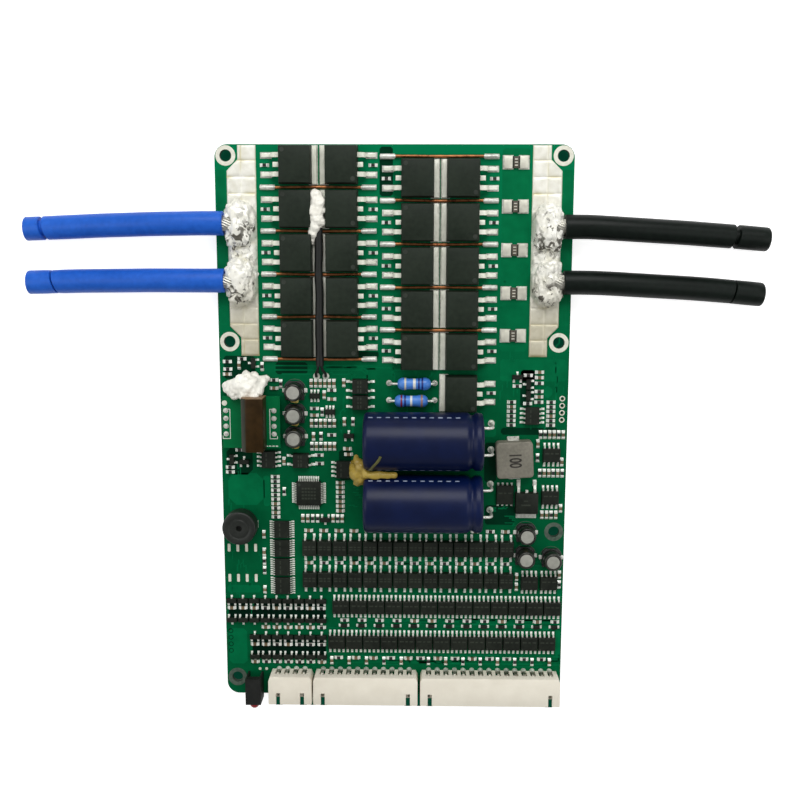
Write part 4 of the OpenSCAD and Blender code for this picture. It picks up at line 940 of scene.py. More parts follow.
for x, y in ((-27.6, 11.4), (-27.6, 4.9), (-27.6, -1.6), (37.5, -29), (37.4, -35.8), (44.9, -36.3)):
    stamp(cans, can_unit, at(x, y))
    stamp(bases, base_mesh, at(x, y))
    for side in (-1, 1):
        add_box(bases, (1.9, 0.75, 0.28), (x + side * 2.2, y, 0), 0.06, 1, 1)
        add_box(bases, (1.5, 1.2, 0.3), (x + side * 2.75, y, 0), 0.12, 2, 2)
    ring(can_rings, x, y, 3.1, 3.22, 0.03, 0, 40)
    for dx, dy, r in ((-0.5, -2.7, 0.62), (0.45, -2.75, 0.7), (0.1, -2.95, 0.5)):
        blob = bmesh.new()
        bmesh.ops.create_icosphere(blob, subdivisions=3, radius=r)
        for v in blob.verts:
            v.co *= 1 + 0.15 * noise.noise(v.co * 1.7 + Vector((x, y, 0)))
            v.co.z = max(v.co.z * 0.8, -0.5)
        stamp(yellow_bits, as_mesh(blob), at(x + dx, y + dy, 1.25))
make_piece("can_capacitor_tops", cans, [can_top, can_side_painted_shade], ["can_capacitors"])
make_piece("can_capacitor_bases", bases, [base_black, tin, solder], ["can_bases"])
make_piece("can_capacitor_yellow_lumps", yellow_bits, [yellow_bit_look])
make_piece("can_capacitor_rings", can_rings, [dull_plate])

# ---------------------------------------------------------------- inductor
# A block pressed from iron powder with rounded corners and folded terminals, marked 100.
powder = grained("pressed_powder", rgb(110, 107, 95), rgb(134, 130, 117), 1600, (0.45, 0.6), 0.35, 0.1)
mark_ink = grained("dark_mark", rgb(34, 30, 26), rgb(52, 48, 42), 2000, (0.5, 0.7), 0.1)
coil = bmesh.new()
core = block_of((10.2, 10.2, 3.85))
upright = [e for e in core.edges if abs(e.verts[0].co.z - e.verts[1].co.z) > 1]
round_edges(core, upright, 1.0, 5, False)
rim = [e for e in core.edges if abs(e.verts[0].co.z - e.verts[1].co.z) < 0.1 and e.verts[0].co.z > 1]
round_edges(core, rim, 0.28, 3, False)
stamp(coil, as_mesh(core), at(0, 0, 2.07))
for side in (-1, 1):
    add_box(coil, (3, 2, 0.2), (0, side * 4.3, 0), 0.04, 1, 1)
    add_box(coil, (3, 0.24, 1.5), (0, side * 5.2, 0), 0.06, 1, 1)
    add_box(coil, (3.4, 1.2, 0.3), (0, side * 5.5, 0), 0.14, 2, 2)


def settled(holder):
    """The mesh of an object once its text, curve or modifiers are worked out."""
    worked_out = holder.evaluated_get(bpy.context.evaluated_depsgraph_get())
    return bpy.data.meshes.new_from_object(worked_out)


label = bpy.data.curves.new("hundred", "FONT")
label.body = "100"
label.size = 4.6
label.align_x = "CENTER"
label.align_y = "CENTER"
label.extrude = 0.02
label.offset = 0.11
holder = bpy.data.objects.new("hundred", label)
scene.collection.objects.link(holder)
numeral = settled(holder)
bpy.data.objects.remove(holder)
for polygon in numeral.polygons:
    polygon.material_index = 3
while len(numeral.materials):
    numeral.materials.pop()
stamp(coil, numeral, Matrix.Translation((0, 0, 4.0)) @ Matrix.Rotation(math.radians(-90), 4, "Z")
    @ Matrix.Diagonal((0.62, 1, 1, 1)))
bmesh.ops.transform(coil, matrix=at(33.7, -7.4, 0, 3), verts=coil.verts)
make_piece("inductor_block", coil, [powder, tin, solder, mark_ink], ["inductor"],
    fix_normals=False)

# ---------------------------------------------------------------- isolated converter
# A small upright board on two four-pin strips carries a block potted in brown resin. White print
# brackets the pins, and the upper end is buried in silicone.
resin = grained("potting_resin", rgb(34, 22, 4), rgb(56, 38, 12), 420, (0.28, 0.42), 0.06, 0, 0.16)
# The left side and left ridge of the potted block take a darker look, painted shade.
resin_side_painted_shade = grained("potting_side_painted_shade", rgb(24, 28, 14), rgb(42, 46, 26), 420, (0.3, 0.45), 0.06, 0, 0.2)
resin_end = grained("potting_end", rgb(112, 86, 58), rgb(146, 116, 84), 420, (0.4, 0.6), 0.1)
small_board = grained("converter_mask", rgb(0, 96, 52), rgb(0, 108, 60), 380, (0.3, 0.42), 0.04, 0, 0.1)
module = bmesh.new()
add_box(module, (16, 14.6, 0.98), (-39.5, 2.7, 1.61), 0.06, 0, 1)
converter_columns = ((-46.6, 1), (-33.2, -1))
converter_rows = [2.7 + (k - 1.5) * 2.2 for k in range(4)]
for x, side in converter_columns:
    for y in converter_rows:
        ring(module, x, y, 0.36, 0.72, 0.05, 1, 20, 2.6)
        solder_cone(module, x, y, 0.5, 0.3, 0.35, 1, 2.6)
    edge = x + side * 1.15
    strip(module, [(x - side * 0.3, 6.4), (edge, 6.4), (edge, -1.9), (x - side * 0.9, -1.9),
        (x - side * 0.9, -1.2)], 0.2, 0.03, 2, 2.6)
stamp(module, turned([(0, 0), (0.75, 0), (0.72, 0.06), (0, 0.1)], 24, lambda r, h: 3), at(-46.9, 8.1, 2.6))
for k in range(4):
    strip(module, [(-35.6 + 0.95 * k, -4), (-35.15 + 0.95 * k, -4)], 0.28, 0.03, 2, 2.6)
make_piece("converter_carrier", module, [small_board, solder, ink, cream_plate], ["converter_board"])
block = bmesh.new()
shell = block_of((6.2, 15, 6.5))
ridge = [e for e in shell.edges if all(v.co.z > 0 and v.co.x < 0 for v in e.verts)]
round_edges(shell, ridge, 1.5, 1, False)
round_edges(shell, shell.edges[:], 0.22, 2, False)
for f in shell.faces:
    middle = f.calc_center_median()
    f.material_index = 2 if middle.y > 7.2 else (1 if middle.x < -1.75 else 0)
stamp(block, as_mesh(shell), at(-38.4, 2.9, 5.85))
make_piece("converter_block", block, [resin, resin_side_painted_shade, resin_end], ["converter_transformer"])
dress("converter_headers", wire_tin)

# ---------------------------------------------------------------- buzzer
# A round moulded sounder with a sound hole in the middle and a shallow moulded ring.
sounder = grained("sounder_black", rgb(22, 26, 22), rgb(34, 38, 33), 600, (0.4, 0.55), 0.08, 0, 0.4)
# The near-black look for the floor of the sound hole is painted shade.
hole_painted_shade = grained("sound_hole_painted_shade", rgb(4, 4, 4), rgb(8, 8, 8), 600, (0.8, 0.9), 0.0)
buzz = bmesh.new()
buzz_unit = turned([(0, 4), (0.78, 4), (0.78, 5.32), (0.86, 5.42), (1.0, 5.46), (2.35, 5.44), (2.45, 5.36),
    (2.9, 5.34), (3.05, 5.44), (4.25, 5.44), (4.5, 5.38), (4.66, 5.24), (4.74, 5.0), (4.75, 4.7),
    (4.75, 1.0), (4.7, 0.8), (4.45, 0.65), (4.45, 0.1), (0, 0.1)], 56,
    lambda r, h: 1 if r < 0.5 and h > 3 else 0)
stamp(buzz, buzz_unit, at(-43.2, -27.1))
for side in (-1, 1):
    add_box(buzz, (1.6, 2, 0.3), (-43.2 + side * 3.85, -27.1, 0), 0.05, 2, 1)
make_piece("buzzer_round", buzz, [sounder, hole_painted_shade, tin], ["buzzer"])

# ---------------------------------------------------------------- cable joints
# The tinned strands of each cable leave the cut insulation and drown in a lumpy clump of solder
# that was fed on by hand until it bridged from the bus pad to the insulation.
cable_joints = ((-1, 57.15), (-1, 41.85), (1, 56.35), (1, 41.55))
cores = bmesh.new()
for side, joint in cable_joints:
    line = [Vector((side * (46.6 - 0.6 * k), joint, 3.6 - 0.045 * k * k * 0.3)) for k in range(12)]
    strand_bundle(cores, line, 2.0, 22, 0.3, 0.5)
make_piece("cable_core_strands", cores, [strand_tin], ["cable_cores"])
clumps = bmesh.new()
for seed, (side, joint) in enumerate(cable_joints):
    clump = bmesh.new()
    bmesh.ops.create_icosphere(clump, subdivisions=5, radius=1)
    for v in clump.verts:
        way = v.co.normalized()
        lump = 0.2 * noise.noise(way * 2.1 + Vector((seed * 5, 0, 0)))
        lump += 0.11 * noise.noise(way * 5 + Vector((0, seed * 7, 0)))
        lump += 0.05 * noise.noise(way * 13) + 0.03 * abs(noise.noise(way * 26))
        blocky = Vector([math.copysign(abs(c) ** 0.8, c) for c in way])
        spot = Vector((blocky.x * 4.1, blocky.y * 6.2, blocky.z * 3.6)) * (1 + lump)
        sag = max(0, -side * spot.x) * 0.2
        v.co = (spot.x, spot.y, max(spot.z - sag, -1.9))
    stamp(clumps, as_mesh(clump), at(side * 41.75, joint - 0.3, 2.1))
marks = clumps.verts.layers.float.new("worked")
for v in clumps.verts:
    below = min(abs(v.co.y - joint) * (1 if v.co.y < joint else -1) for joint in (57, 41.8)
        if abs(v.co.y - joint) < 8)
    v[marks] = min(1, max(0.25, 0.72 + 0.16 * below + 0.9 * noise.noise(v.co * 0.35)))
make_piece("cable_solder_clumps", clumps, [bus_look], sharp=80)

# ---------------------------------------------------------------- sense connectors
# Three side-entry headers moulded in ivory plastic with square tinned pins. Each pin bends down
# behind the comb into a soldered hole.
ivory = grained("ivory_plastic", rgb(229, 222, 205), rgb(241, 235, 219), 240, (0.35, 0.5), 0.03, 0, 0.35)
# The pins take a darker tin than the other tin parts: painted shade on the pins inside the housings.
pin_tin_painted_shade = grained("pin_tin_painted_shade", rgb(92, 88, 76), rgb(178, 176, 162), 1300, (0.25, 0.4), 0.1, 0.6)
sense_connectors = ((4, -29.5), (11, -7.9), (15, 27.75))
pin_pitch = 2.5
for ways, middle in sense_connectors:
    dress("connector_pins_%d" % ways, pin_tin_painted_shade)


def carve(name, solid, cutters):
    """Cuts each of the cutters, all bmeshes, out of a solid."""
    holder = bpy.data.objects.new(name, as_mesh(solid))
    scene.collection.objects.link(holder)
    tools = []
    for cutter in cutters:
        tool = bpy.data.objects.new(name + "_cut", as_mesh(cutter))
        scene.collection.objects.link(tool)
        tools.append(tool)
        cut = holder.modifiers.new("cut", "BOOLEAN")
        cut.operation = "DIFFERENCE"
        cut.object = tool
    carved = bmesh.new()
    carved.from_mesh(settled(holder))
    for made in [holder] + tools:
        bpy.data.objects.remove(made)
    return carved


def housing(ways, middle):
    """A socket open at the mouth, two slots in its upper wall, and a notch behind for each pin."""
    shell_end, high, mouth_y, depth, wall, socket = 2.45, 6.1, -78.9, 8.3, 0.9, 6.2
    wide = (ways - 1) * pin_pitch + 2 * shell_end
    half = wide / 2
    pins = [(k - (ways - 1) / 2) * pin_pitch for k in range(ways)]
    solid = bmesh.new()
    plan = [(-half, 0), (half, 0), (half, depth - 1.3), (half - 0.5, depth), (0.5 - half, depth),
        (-half, depth - 1.3)]
    slab(solid, [(x, y, 0) for x, y in plan], (0, 0, high))
    round_edges(solid, solid.edges[:], 0.14, 2, False)
    hollow, slots, notches, bores = (bmesh.new() for _ in range(4))
    add_box(hollow, (wide - 2 * wall, 2 * socket, high - 2 * wall), (0, 0, wall))
    for side in (-1, 1):
        add_box(slots, (1.2, 7, 4), (side * (half - shell_end - 0.3), 0, high / 2))
    for x in pins:
        add_box(notches, (1.5, 3.2, 3.9), (x, depth, -0.1), 0.3)
        add_box(bores, (0.84, 4, 0.84), (x, socket, 2.83))
    carved = carve("housing", solid, (hollow, slots, notches, bores))
    bmesh.ops.translate(carved, vec=(middle, mouth_y, 0), verts=carved.verts)
    return carved


for ways, middle in sense_connectors:
    make_piece("connector_housing_%d" % ways, housing(ways, middle), [ivory],
        ["connector_shell_%d" % ways])
joint_solder = grained("joint_solder", rgb(150, 158, 146), rgb(226, 230, 218), 900, (0.22, 0.36), 0.2, 0.3)
feet = bmesh.new()
bump = turned([(0, 0), (0.78, 0), (0.76, 0.1), (0.64, 0.36), (0.5, 0.62), (0.38, 0.9), (0, 0.95)], 16,
    lambda r, h: 0)
tail_drop = turned([(0, 0), (0.9, 0), (0.86, 0.1), (0.6, 0.4), (0.42, 0.85), (0, 0.9)], 14, lambda r, h: 0)
for ways, middle in sense_connectors:
    for k in range(ways):
        x = middle + (k - (ways - 1) / 2) * pin_pitch
        stamp(feet, bump, at(x, -70.62, 0))
        stamp(feet, tail_drop, at(x, -70.7, -1.6) @ Matrix.Rotation(math.pi, 4, "X"))
make_piece("connector_solder", feet, [joint_solder])

# ---------------------------------------------------------------- indicator
# A right-angle black holder at the lower corner lets a red lamp look out past the board's edge.
holder_black = grained("holder_black", rgb(16, 18, 16), rgb(28, 30, 27), 600, (0.4, 0.6), 0.1, 0, 0.3)
dress("indicator_holder", holder_black)
lens_red = grained("red_lens", rgb(116, 16, 22), rgb(170, 36, 40), 500, (0.1, 0.18), 0.02, 0, 0.6)
lamp = bmesh.new()
nose = [(0, -5.4), (1.5, -5.4), (1.5, -0.5), (1.46, -0.1), (1.3, 0.45), (1.0, 0.9), (0.55, 1.2), (0, 1.3)]
stamp(lamp, turned(nose, 28, lambda r, h: 0), Matrix.Translation((-40.1, -79.85, 3.4))
    @ Matrix.Rotation(math.radians(90), 4, "X"))
for x in (-41.37, -38.83):
    add_box(lamp, (0.5, 2, 0.5), (x, -74.75, 3.15), 0.05, 1, 1)
    add_box(lamp, (0.5, 0.5, 6.75), (x, -74.15, -3.1), 0.05, 1, 1)
    stamp(lamp, tail_drop, at(x, -74.15, -1.6) @ Matrix.Rotation(math.pi, 4, "X"))
make_piece("indicator_lamp", lamp, [lens_red, wire_tin], ["indicator_led"])

# ---------------------------------------------------------------- axial resistors
# Two metal-film resistors in sky-blue lacquer with colour bands, their wires bent into the board.
lacquer = grained("blue_lacquer", rgb(50, 106, 190), rgb(76, 134, 212), 300, (0.25, 0.38), 0.04, 0, 0.5)
band_looks = {"cream": ((206, 200, 180), 2), "white": ((222, 222, 214), 3), "navy": ((26, 40, 112), 4),
              "red": ((120, 20, 34), 5), "pale_brown": ((150, 112, 96), 6)}
resistor_looks = [lacquer, wire_tin]
for key, (tone, _) in band_looks.items():
    shade = rgb(*[max(0, c - 12) for c in tone])
    resistor_looks.append(grained("band_" + key, shade, rgb(*tone), 900, (0.25, 0.4), 0.05))
resistors = bmesh.new()
body = [(0, -4.6), (0.5, -4.6), (1.0, -4.45), (1.5, -3.95), (1.72, -3.3), (1.76, -2.8), (1.68, -2.2),
    (1.56, -1.7), (1.52, -1)]
body = body + [(r, -z) for r, z in reversed(body)]


def radius_at(z):
    """The radius of the lacquered body at a place along it."""
    for (r0, z0), (r1, z1) in zip(body[1:], body[2:]):
        if z0 <= z <= z1 and z1 > z0:
            return r0 + (r1 - r0) * (z - z0) / (z1 - z0)
    return 0.5


def band_at(bands, x):
    """The look of the colour band at a place, or of the lacquer."""
    for key, centre, wide in bands:
        if abs(x - centre) < wide / 2:
            return band_looks[key][1]
    return 0


upper_bands = (("cream", 3.25, 0.5), ("white", 5.75, 0.75), ("navy", 7.0, 0.45), ("navy", 7.95, 0.5))
lower_bands = (("red", 2.2, 0.5), ("navy", 3.2, 0.5), ("white", 4.9, 0.6), ("pale_brown", 7.8, 0.55))
for x, y, bands in ((5.7, 13.6, upper_bands), (4.9, 8.8, lower_bands)):
    cuts = sorted({round(z, 3) for _, z in body} | {round(c - x + h * w / 2, 3) for _, c, w in bands
        for h in (-1, 1)})
    profile = [(0, -4.6)] + [(radius_at(z), z) for z in cuts] + [(0, 4.6)]
    unit = turned(profile, 32, lambda r, z: band_at(bands, z + x))
    stamp(resistors, unit, Matrix.Translation((x, y, 1.9)) @ Matrix.Rotation(math.radians(90), 4, "Y"))
    for end, hole in ((x - 4.5, -1.3), (x + 4.5, 11.4)):
        way = 1 if hole > x else -1
        bent_lead(resistors, [(end, y, 1.9), (hole - way * 1.0, y, 1.9), (hole - way * 0.3, y, 1.75),
            (hole, y, 1.1), (hole, y, 0), (hole, y, -3)], 0.35, 10, 1)
        ring(resistors, hole, y, 0.4, 0.82, 0.06, 1, 20)
        solder_cone(resistors, hole, y, 0.62, 0.34, 0.45, 1)
        solder_cone(resistors, hole, y, 0.85, 0.36, 0.9, 1, -1.6, True)
make_piece("axial_resistor_pair", resistors, resistor_looks, ["axial_resistors"])

# ---------------------------------------------------------------- chip packages
# Moulded packages with tinned gull-wing leads: drivers, optocouplers, monitors and a controller.
# Each lead is soldered by a fillet that climbs its toe.
chip_epoxy = grained("chip_epoxy", rgb(12, 18, 11), rgb(26, 32, 23), 700, (0.4, 0.55), 0.1, 0, 0.28)
chip_mark = grained("chip_marking", rgb(40, 46, 38), rgb(54, 60, 50), 1400, (0.5, 0.65), 0.05, 0, 0.25)
lead_tin = grained("lead_tin", rgb(190, 192, 182), rgb(236, 238, 228), 1500, (0.3, 0.45), 0.1, 0.3)
lead_solder = grained("lead_solder", rgb(218, 222, 212), rgb(250, 252, 246), 1300, (0.25, 0.4), 0.25, 0.2)
chip_looks = [chip_epoxy, lead_tin, lead_solder, chip_mark]


def gull_side(start, toe, z, wide, thick, pad):
    """One lead along +X: a shoulder, a slope and a foot on its soldered pad."""
    lead = bmesh.new()
    knee, heel = start + (toe - start) * 0.34, start + (toe - start) * 0.56
    add_plate(lead, [(start - 0.15, z), (knee, z), (heel + thick * 0.7, thick + 0.03), (toe, thick + 0.03),
        (toe, 0.03), (heel, 0.03), (knee - thick * 0.4, z - thick), (start - 0.15, z - thick)], wide, 0, 1)
    add_box(lead, (toe - heel + pad, wide * 1.4, 0.06), ((heel + toe + pad) / 2 - 0.05, 0, 0), 0, 2, 1)
    add_plate(lead, [(toe - 0.12, thick + 0.05), (toe + pad * 0.35, thick * 0.5), (toe + pad * 0.8, 0.05),
        (toe - 0.12, 0.04)], wide * 1.15, 0, 2)
    return as_mesh(lead)


def gull_unit(per_side, pitch, body, span, wide, mark=1, thick=0.2, pad=0.4):
    """A moulded package with leads along its two long sides."""
    unit = bmesh.new()
    add_box(unit, (body[0], body[1], body[2] * 0.5), (0, 0, 0.08), 0.05, 0, 1)
    add_box(unit, (body[0] - 0.02, body[1] - 0.02, body[2] * 0.52), (0, 0, body[2] * 0.48), 0.07, 0, 1, 0.09)
    top = body[2] + 0.002
    if mark:
        stamp(unit, turned([(0, 0), (0.22, 0), (0.2, 0.012), (0, 0.012)], 12, lambda r, h: 3),
            at(0.5 - body[0] / 2, 0.5 - body[1] / 2, top))
    for row in range(mark):
        for k, part in enumerate((0.3, 0.18, 0.26)):
            add_box(unit, (body[0] * part * 0.8, 0.34, 0.012),
                (body[0] * (-0.27 + 0.28 * k), 0.55 - 0.75 * row, top - 0.004), 0, 3, 1)
    lead = gull_side(body[1] / 2, span / 2, body[2] / 2 + 0.1, wide, thick, pad)
    for turn in (90, -90):
        for k in range(per_side):
            stamp(unit, lead, Matrix.Translation(((k - (per_side - 1) / 2) * pitch, 0, 0))
                @ Matrix.Rotation(math.radians(turn), 4, "Z"))
    return as_mesh(unit)


opto_unit = gull_unit(2, 2.54, (4.1, 4.4, 2.1), 7, 0.5, 2, 0.22, 0.55)
driver_unit = gull_unit(4, 1.27, (4.9, 3.9, 1.6), 6, 0.46, 1, 0.2, 0.45)
monitor_unit = gull_unit(8, 0.65, (5, 4.4, 1.1), 6.4, 0.28, 1, 0.14, 0.35)
optos = bmesh.new()
for y in (-33.8, -43.1):
    for k in range(14):
        stamp(optos, opto_unit, at(-23.9 + 4.31 * k, y))
make_piece("optocoupler_rows", optos, chip_looks, ["optocouplers"], sharp=30)
drivers = bmesh.new()
for x, y in ((-15.1, -51.4), (-16.4, -62)):
    for k in range(13):
        stamp(drivers, driver_unit, at(x + 5.05 * k, y))
make_piece("driver_rows", drivers, chip_looks, ["driver_chips"], sharp=30)
monitors = bmesh.new()
for k in range(4):
    stamp(monitors, monitor_unit, at(-31.8, -28.6 - 5.55 * k, 0, 90))
make_piece("monitor_column", monitors, chip_looks, ["monitor_chips"], sharp=30)
controller = bmesh.new()
add_box(controller, (7, 7, 0.75), (0, 0, 0.1), 0.12, 0, 2)
add_box(controller, (6.95, 6.95, 0.75), (0, 0, 0.78), 0.1, 0, 2, 0.1)
stamp(controller, turned([(0, 0), (0.42, 0), (0.4, 0.012), (0, 0.012)], 20, lambda r, h: 3),
    at(-2.6, 2.6, 1.53))
for row in range(4):
    for k in range(5):
        add_box(controller, (0.62, 0.5, 0.012), (-1.6 + 0.85 * k, 1.5 - 0.95 * row, 1.527), 0, 3, 1)
fine_lead = gull_side(3.5, 4.5, 0.85, 0.24, 0.14, 0.35)
for turn in range(4):
    for k in range(12):
        stamp(controller, fine_lead, Matrix.Rotation(math.radians(90 * turn), 4, "Z")
            @ Matrix.Translation((0, (k - 5.5) * 0.5, 0)))
bmesh.ops.translate(controller, vec=(-24, -17.9, 0), verts=controller.verts)
make_piece("controller_chip", controller, chip_looks, ["microcontroller"], sharp=30)
support = bmesh.new()
for x, y, turn in ((44.2, -6.5, 0), (44.1, -18.7, 0), (38.6, 4.6, 90), (-14.2, -11, 90), (-35.2, -8.2, 90),
        (38.8, -43.8, 0), (44.3, -43.8, 0)):
    stamp(support, driver_unit, at(x, y, 0, turn))
for x, y, turn in ((-9.3, 12.7, 90), (-9.3, 8.2, 90), (-26.1, -8.4, 90)):
    stamp(support, opto_unit, at(x, y, 0, turn))
stamp(support, gull_unit(4, 1.27, (4.9, 5.6, 1.1), 6.2, 0.42, 1, 0.18, 0.3), at(31.4, -18))
add_box(support, (6.5, 6.1, 1.1), (37.5, -20.2, 0.1), 0.08, 0, 1)
add_box(support, (6.46, 6.06, 1.2), (37.5, -20.2, 1.1), 0.1, 0, 2, 0.12)
add_box(support, (5.3, 1.9, 0.55), (37.5, -23.65, 0), 0.06, 1, 1)
add_box(support, (5.7, 2.3, 0.1), (37.5, -23.7, 0), 0.03, 2, 1)
add_box(support, (1.1, 0.3, 0.02), (37.2, -19.4, 2.3), 0, 3, 1)
add_box(support, (2.6, 0.4, 0.02), (37.2, -20.6, 2.3), 0, 3, 1)
big_lead = gull_side(3, 6, 1.3, 0.75, 0.5, 0.5)
for x in (-2.28, 2.28):
    stamp(support, big_lead, at(37.5 + x, -20.2, 0) @ Matrix.Rotation(math.radians(90), 4, "Z"))
add_box(support, (0.75, 0.9, 0.5), (37.5, -16.9, 0.85), 0.04, 1, 1)
make_piece("support_packages", support, chip_looks, ["support_chips"], sharp=30)

# ---------------------------------------------------------------- small transistors
# Three-lead and six-lead moulded parts in paired rows, with dark moulded diodes between drivers.
trio = bmesh.new()
add_box(trio, (2.9, 1.3, 0.5), (0, 0, 0.06), 0.03, 0, 1)
add_box(trio, (2.88, 1.28, 0.52), (0, 0, 0.5), 0.05, 0, 1, 0.06)
tiny_lead = gull_side(0.65, 1.2, 0.6, 0.44, 0.15, 0.4)
for x, turn in ((0, 90), (-0.95, -90), (0.95, -90)):
    stamp(trio, tiny_lead, at(x, 0, 0, turn))
trio_mesh = as_mesh(trio)
smalls = bmesh.new()
for count, y, turn in ((9, -49.9, 0), (9, -55.7, 180), (7, -60.8, 0), (7, -66.8, 180)):
    for k in range(count):
        stamp(smalls, trio_mesh, at(-20.8 - 3.235 * k, y, 0, turn))
for x, y, turn in ((-12.6, -1.4, 0), (-19.4, -25.7, 180), (37.4, 13.4, 90), (37.4, 10.2, 90),
        (-42.2, -9, 0), (-39, 19, 90), (34.3, 15.4, 0), (-45.6, -8.3, 90)):
    stamp(smalls, trio_mesh, at(x, y, 0, turn))
six_unit = gull_unit(3, 0.95, (2.9, 1.6, 1.1), 2.8, 0.42, 0, 0.15, 0.4)
for x, y in ((-22, 9.9), (-17.8, 5.4)):
    stamp(smalls, six_unit, at(x, y))
diode = bmesh.new()
add_box(diode, (1.9, 1.06, 0.85), (0, 0, 0.05), 0.08, 0, 1, 0.06)
for side in (-1, 1):
    add_box(diode, (0.5, 0.7, 0.3), (side * 0.95, 0, 0), 0.05, 1, 1)
    add_box(diode, (0.5, 0.9, 0.14), (side * 1.25, 0, 0), 0.06, 2, 1)
diode_mesh = as_mesh(diode)
for k in range(13):
    stamp(smalls, diode_mesh, at(-14.3 + 5.05 * k, -57.2))
make_piece("small_moulded_parts", smalls, chip_looks, ["small_transistors"], sharp=30)

# ---------------------------------------------------------------- chip resistors and capacitors
# Ceramic chips of 1.6 mm by 0.85 mm: black-topped resistors and tan capacitors, each held by two
# fillets of bright solder.
tan_ceramic = grained("tan_ceramic", rgb(88, 74, 52), rgb(130, 112, 84), 1200, (0.35, 0.5), 0.1)
black_glaze = grained("black_glaze", rgb(24, 25, 24), rgb(40, 40, 38), 1200, (0.25, 0.4), 0.1)
white_ceramic = grained("white_ceramic", rgb(196, 194, 182), rgb(226, 224, 214), 1200, (0.4, 0.55), 0.1)


def chip_unit(height, look):
    unit = bmesh.new()
    add_box(unit, (1.2, 0.8, height - 0.04), (0, 0, 0.02), 0, 1 if look == 1 else 2, 1)
    if look != 1:
        add_box(unit, (0.96, 0.78, 0.05), (0, 0, height - 0.04), 0, look, 1)
    for side in (-1, 1):
        add_box(unit, (0.36, 0.86, height), (side * 0.63, 0, 0.01), 0.05, 0, 1)
        outline = [(side * 0.76, height * 0.92), (side * 0.98, height * 0.34), (side * 1.24, 0.05),
            (side * 1.24, 0.0), (side * 0.6, 0.0)]
        add_plate(unit, outline, 0.94, 0, 0)
    return as_mesh(unit)


chip_kinds = [chip_unit(0.46, 3), chip_unit(0.66, 1), chip_unit(0.58, 1)]
pick = random.Random(5)
chips = bmesh.new()


def put_chip(x, y, turn, kind=None):
    kind = (0 if pick.random() < 0.5 else pick.choice((1, 2))) if kind is None else kind
    stamp(chips, chip_kinds[kind], at(x, y, 0, turn))


for y in (-28.9, -38.4):
    for k in range(14):
        put_chip(-24.2 + 4.31 * k, y, 0)
for count, x, y, pitch, turn in ((13, -14.1, -55.6, 5.05, 0), (5, -17.9, -67.9, 5.05, 90),
        (8, 10.2, -67.9, 5, 90), (5, -15.9, -67, 5.05, 0), (8, 7.9, -67, 5, 0),
        (9, -20.8, -52.1, -3.235, 0), (6, -20.8, -57.9, -3.235, 0), (7, -20.8, -63.1, -3.235, 0),
        (7, -20.8, -68.4, -3.235, 0), (4, -25.8, -25.4, 1.4, 90), (3, -17.2, -25.4, 1.3, 90),
        (6, -23, 13.4, 1.27, 90), (6, -23, 2.1, 1.27, 90), (6, -23, -4.5, 1.27, 90),
        (6, 41.1, -0.8, 1.26, 90), (6, 41.1, -11.8, 1.26, 90), (4, 42, -23.9, 1.3, 90)):
    for k in range(count):
        put_chip(x + k * pitch, y, turn)
for count, x, y, pitch in ((10, -33.5, -13.3, 1.3), (7, -15.1, -14.9, 1.36), (6, 32.8, 8.4, 1.3),
        (6, 43.8, 8.4, 1.3)):
    for k in range(count):
        put_chip(x, y - k * pitch, 0)
for x, turn, first, rows in transistor_columns.values():
    for k in range(rows):
        put_chip(x + (8.45 if turn else -8.45), first - k * row_pitch, 0, 0)
for x, y, turn in ((-19.4, 10.2, 90), (-17.3, 11.5, 0), (-17.3, 9, 0), (-22.2, 6.3, 0), (-22.2, 4.4, 0),
        (-20, 5.3, 90), (-13.8, 2.6, 90), (-11.4, 2.6, 90), (-13, -5.1, 0), (-12.7, -6.7, 0),
        (-22.5, -1.7, 90), (-20.4, -1.6, 90), (-17.4, -1.2, 0), (-31, -17.6, 90), (-37, -30.2, 90),
        (-37, -35.4, 90), (-37, -38, 90), (-37, -40.8, 90), (-37, -46.6, 90), (-46.2, -10.6, 0),
        (-46.2, -12, 0), (-43.4, -5.6, 0), (-46.3, 19.4, 0), (-46.2, 17.3, 0), (-46.4, 15.9, 0),
        (-43, 18.4, 90), (-42.2, 20.2, 0), (-36.6, 18, 90), (-33.4, 14.3, 0), (-33.4, 12, 0),
        (-31.5, 13.2, 90), (-30.9, -8.8, 90), (-21, -7, 0), (-20.9, -9.4, 0), (37.3, 15.9, 0),
        (40.4, 16.8, 0), (40.4, 15.3, 0), (40.4, 13.7, 0), (40.4, 11.4, 0), (40.4, 9.9, 0), (40.4, 8.4, 0),
        (37.3, 8, 0), (34.3, 12.9, 0), (40.4, -3.4, 90), (40.4, -7.4, 90), (47.2, -8.6, 90),
        (47.2, -22, 90), (47.4, -41.5, 90), (47.4, -44.4, 90), (35.2, -42.3, 90), (35.2, -45.2, 90),
        (-13.9, 13.6, 90)):
    put_chip(x, y, turn)
make_piece("chip_parts_all", chips, [lead_solder, tan_ceramic, white_ceramic, black_glaze],
    ["chip_components"], sharp=30)

# ---------------------------------------------------------------- silicone
# White silicone squeezed from a nozzle: a heap that ties the converter to the board, and a ragged
# plug that holds the temperature probe down between two transistor columns.
silicone = grained("white_silicone", rgb(236, 233, 220), rgb(255, 253, 243), 260, (0.3, 0.45), 0.08, 0, 0.4)


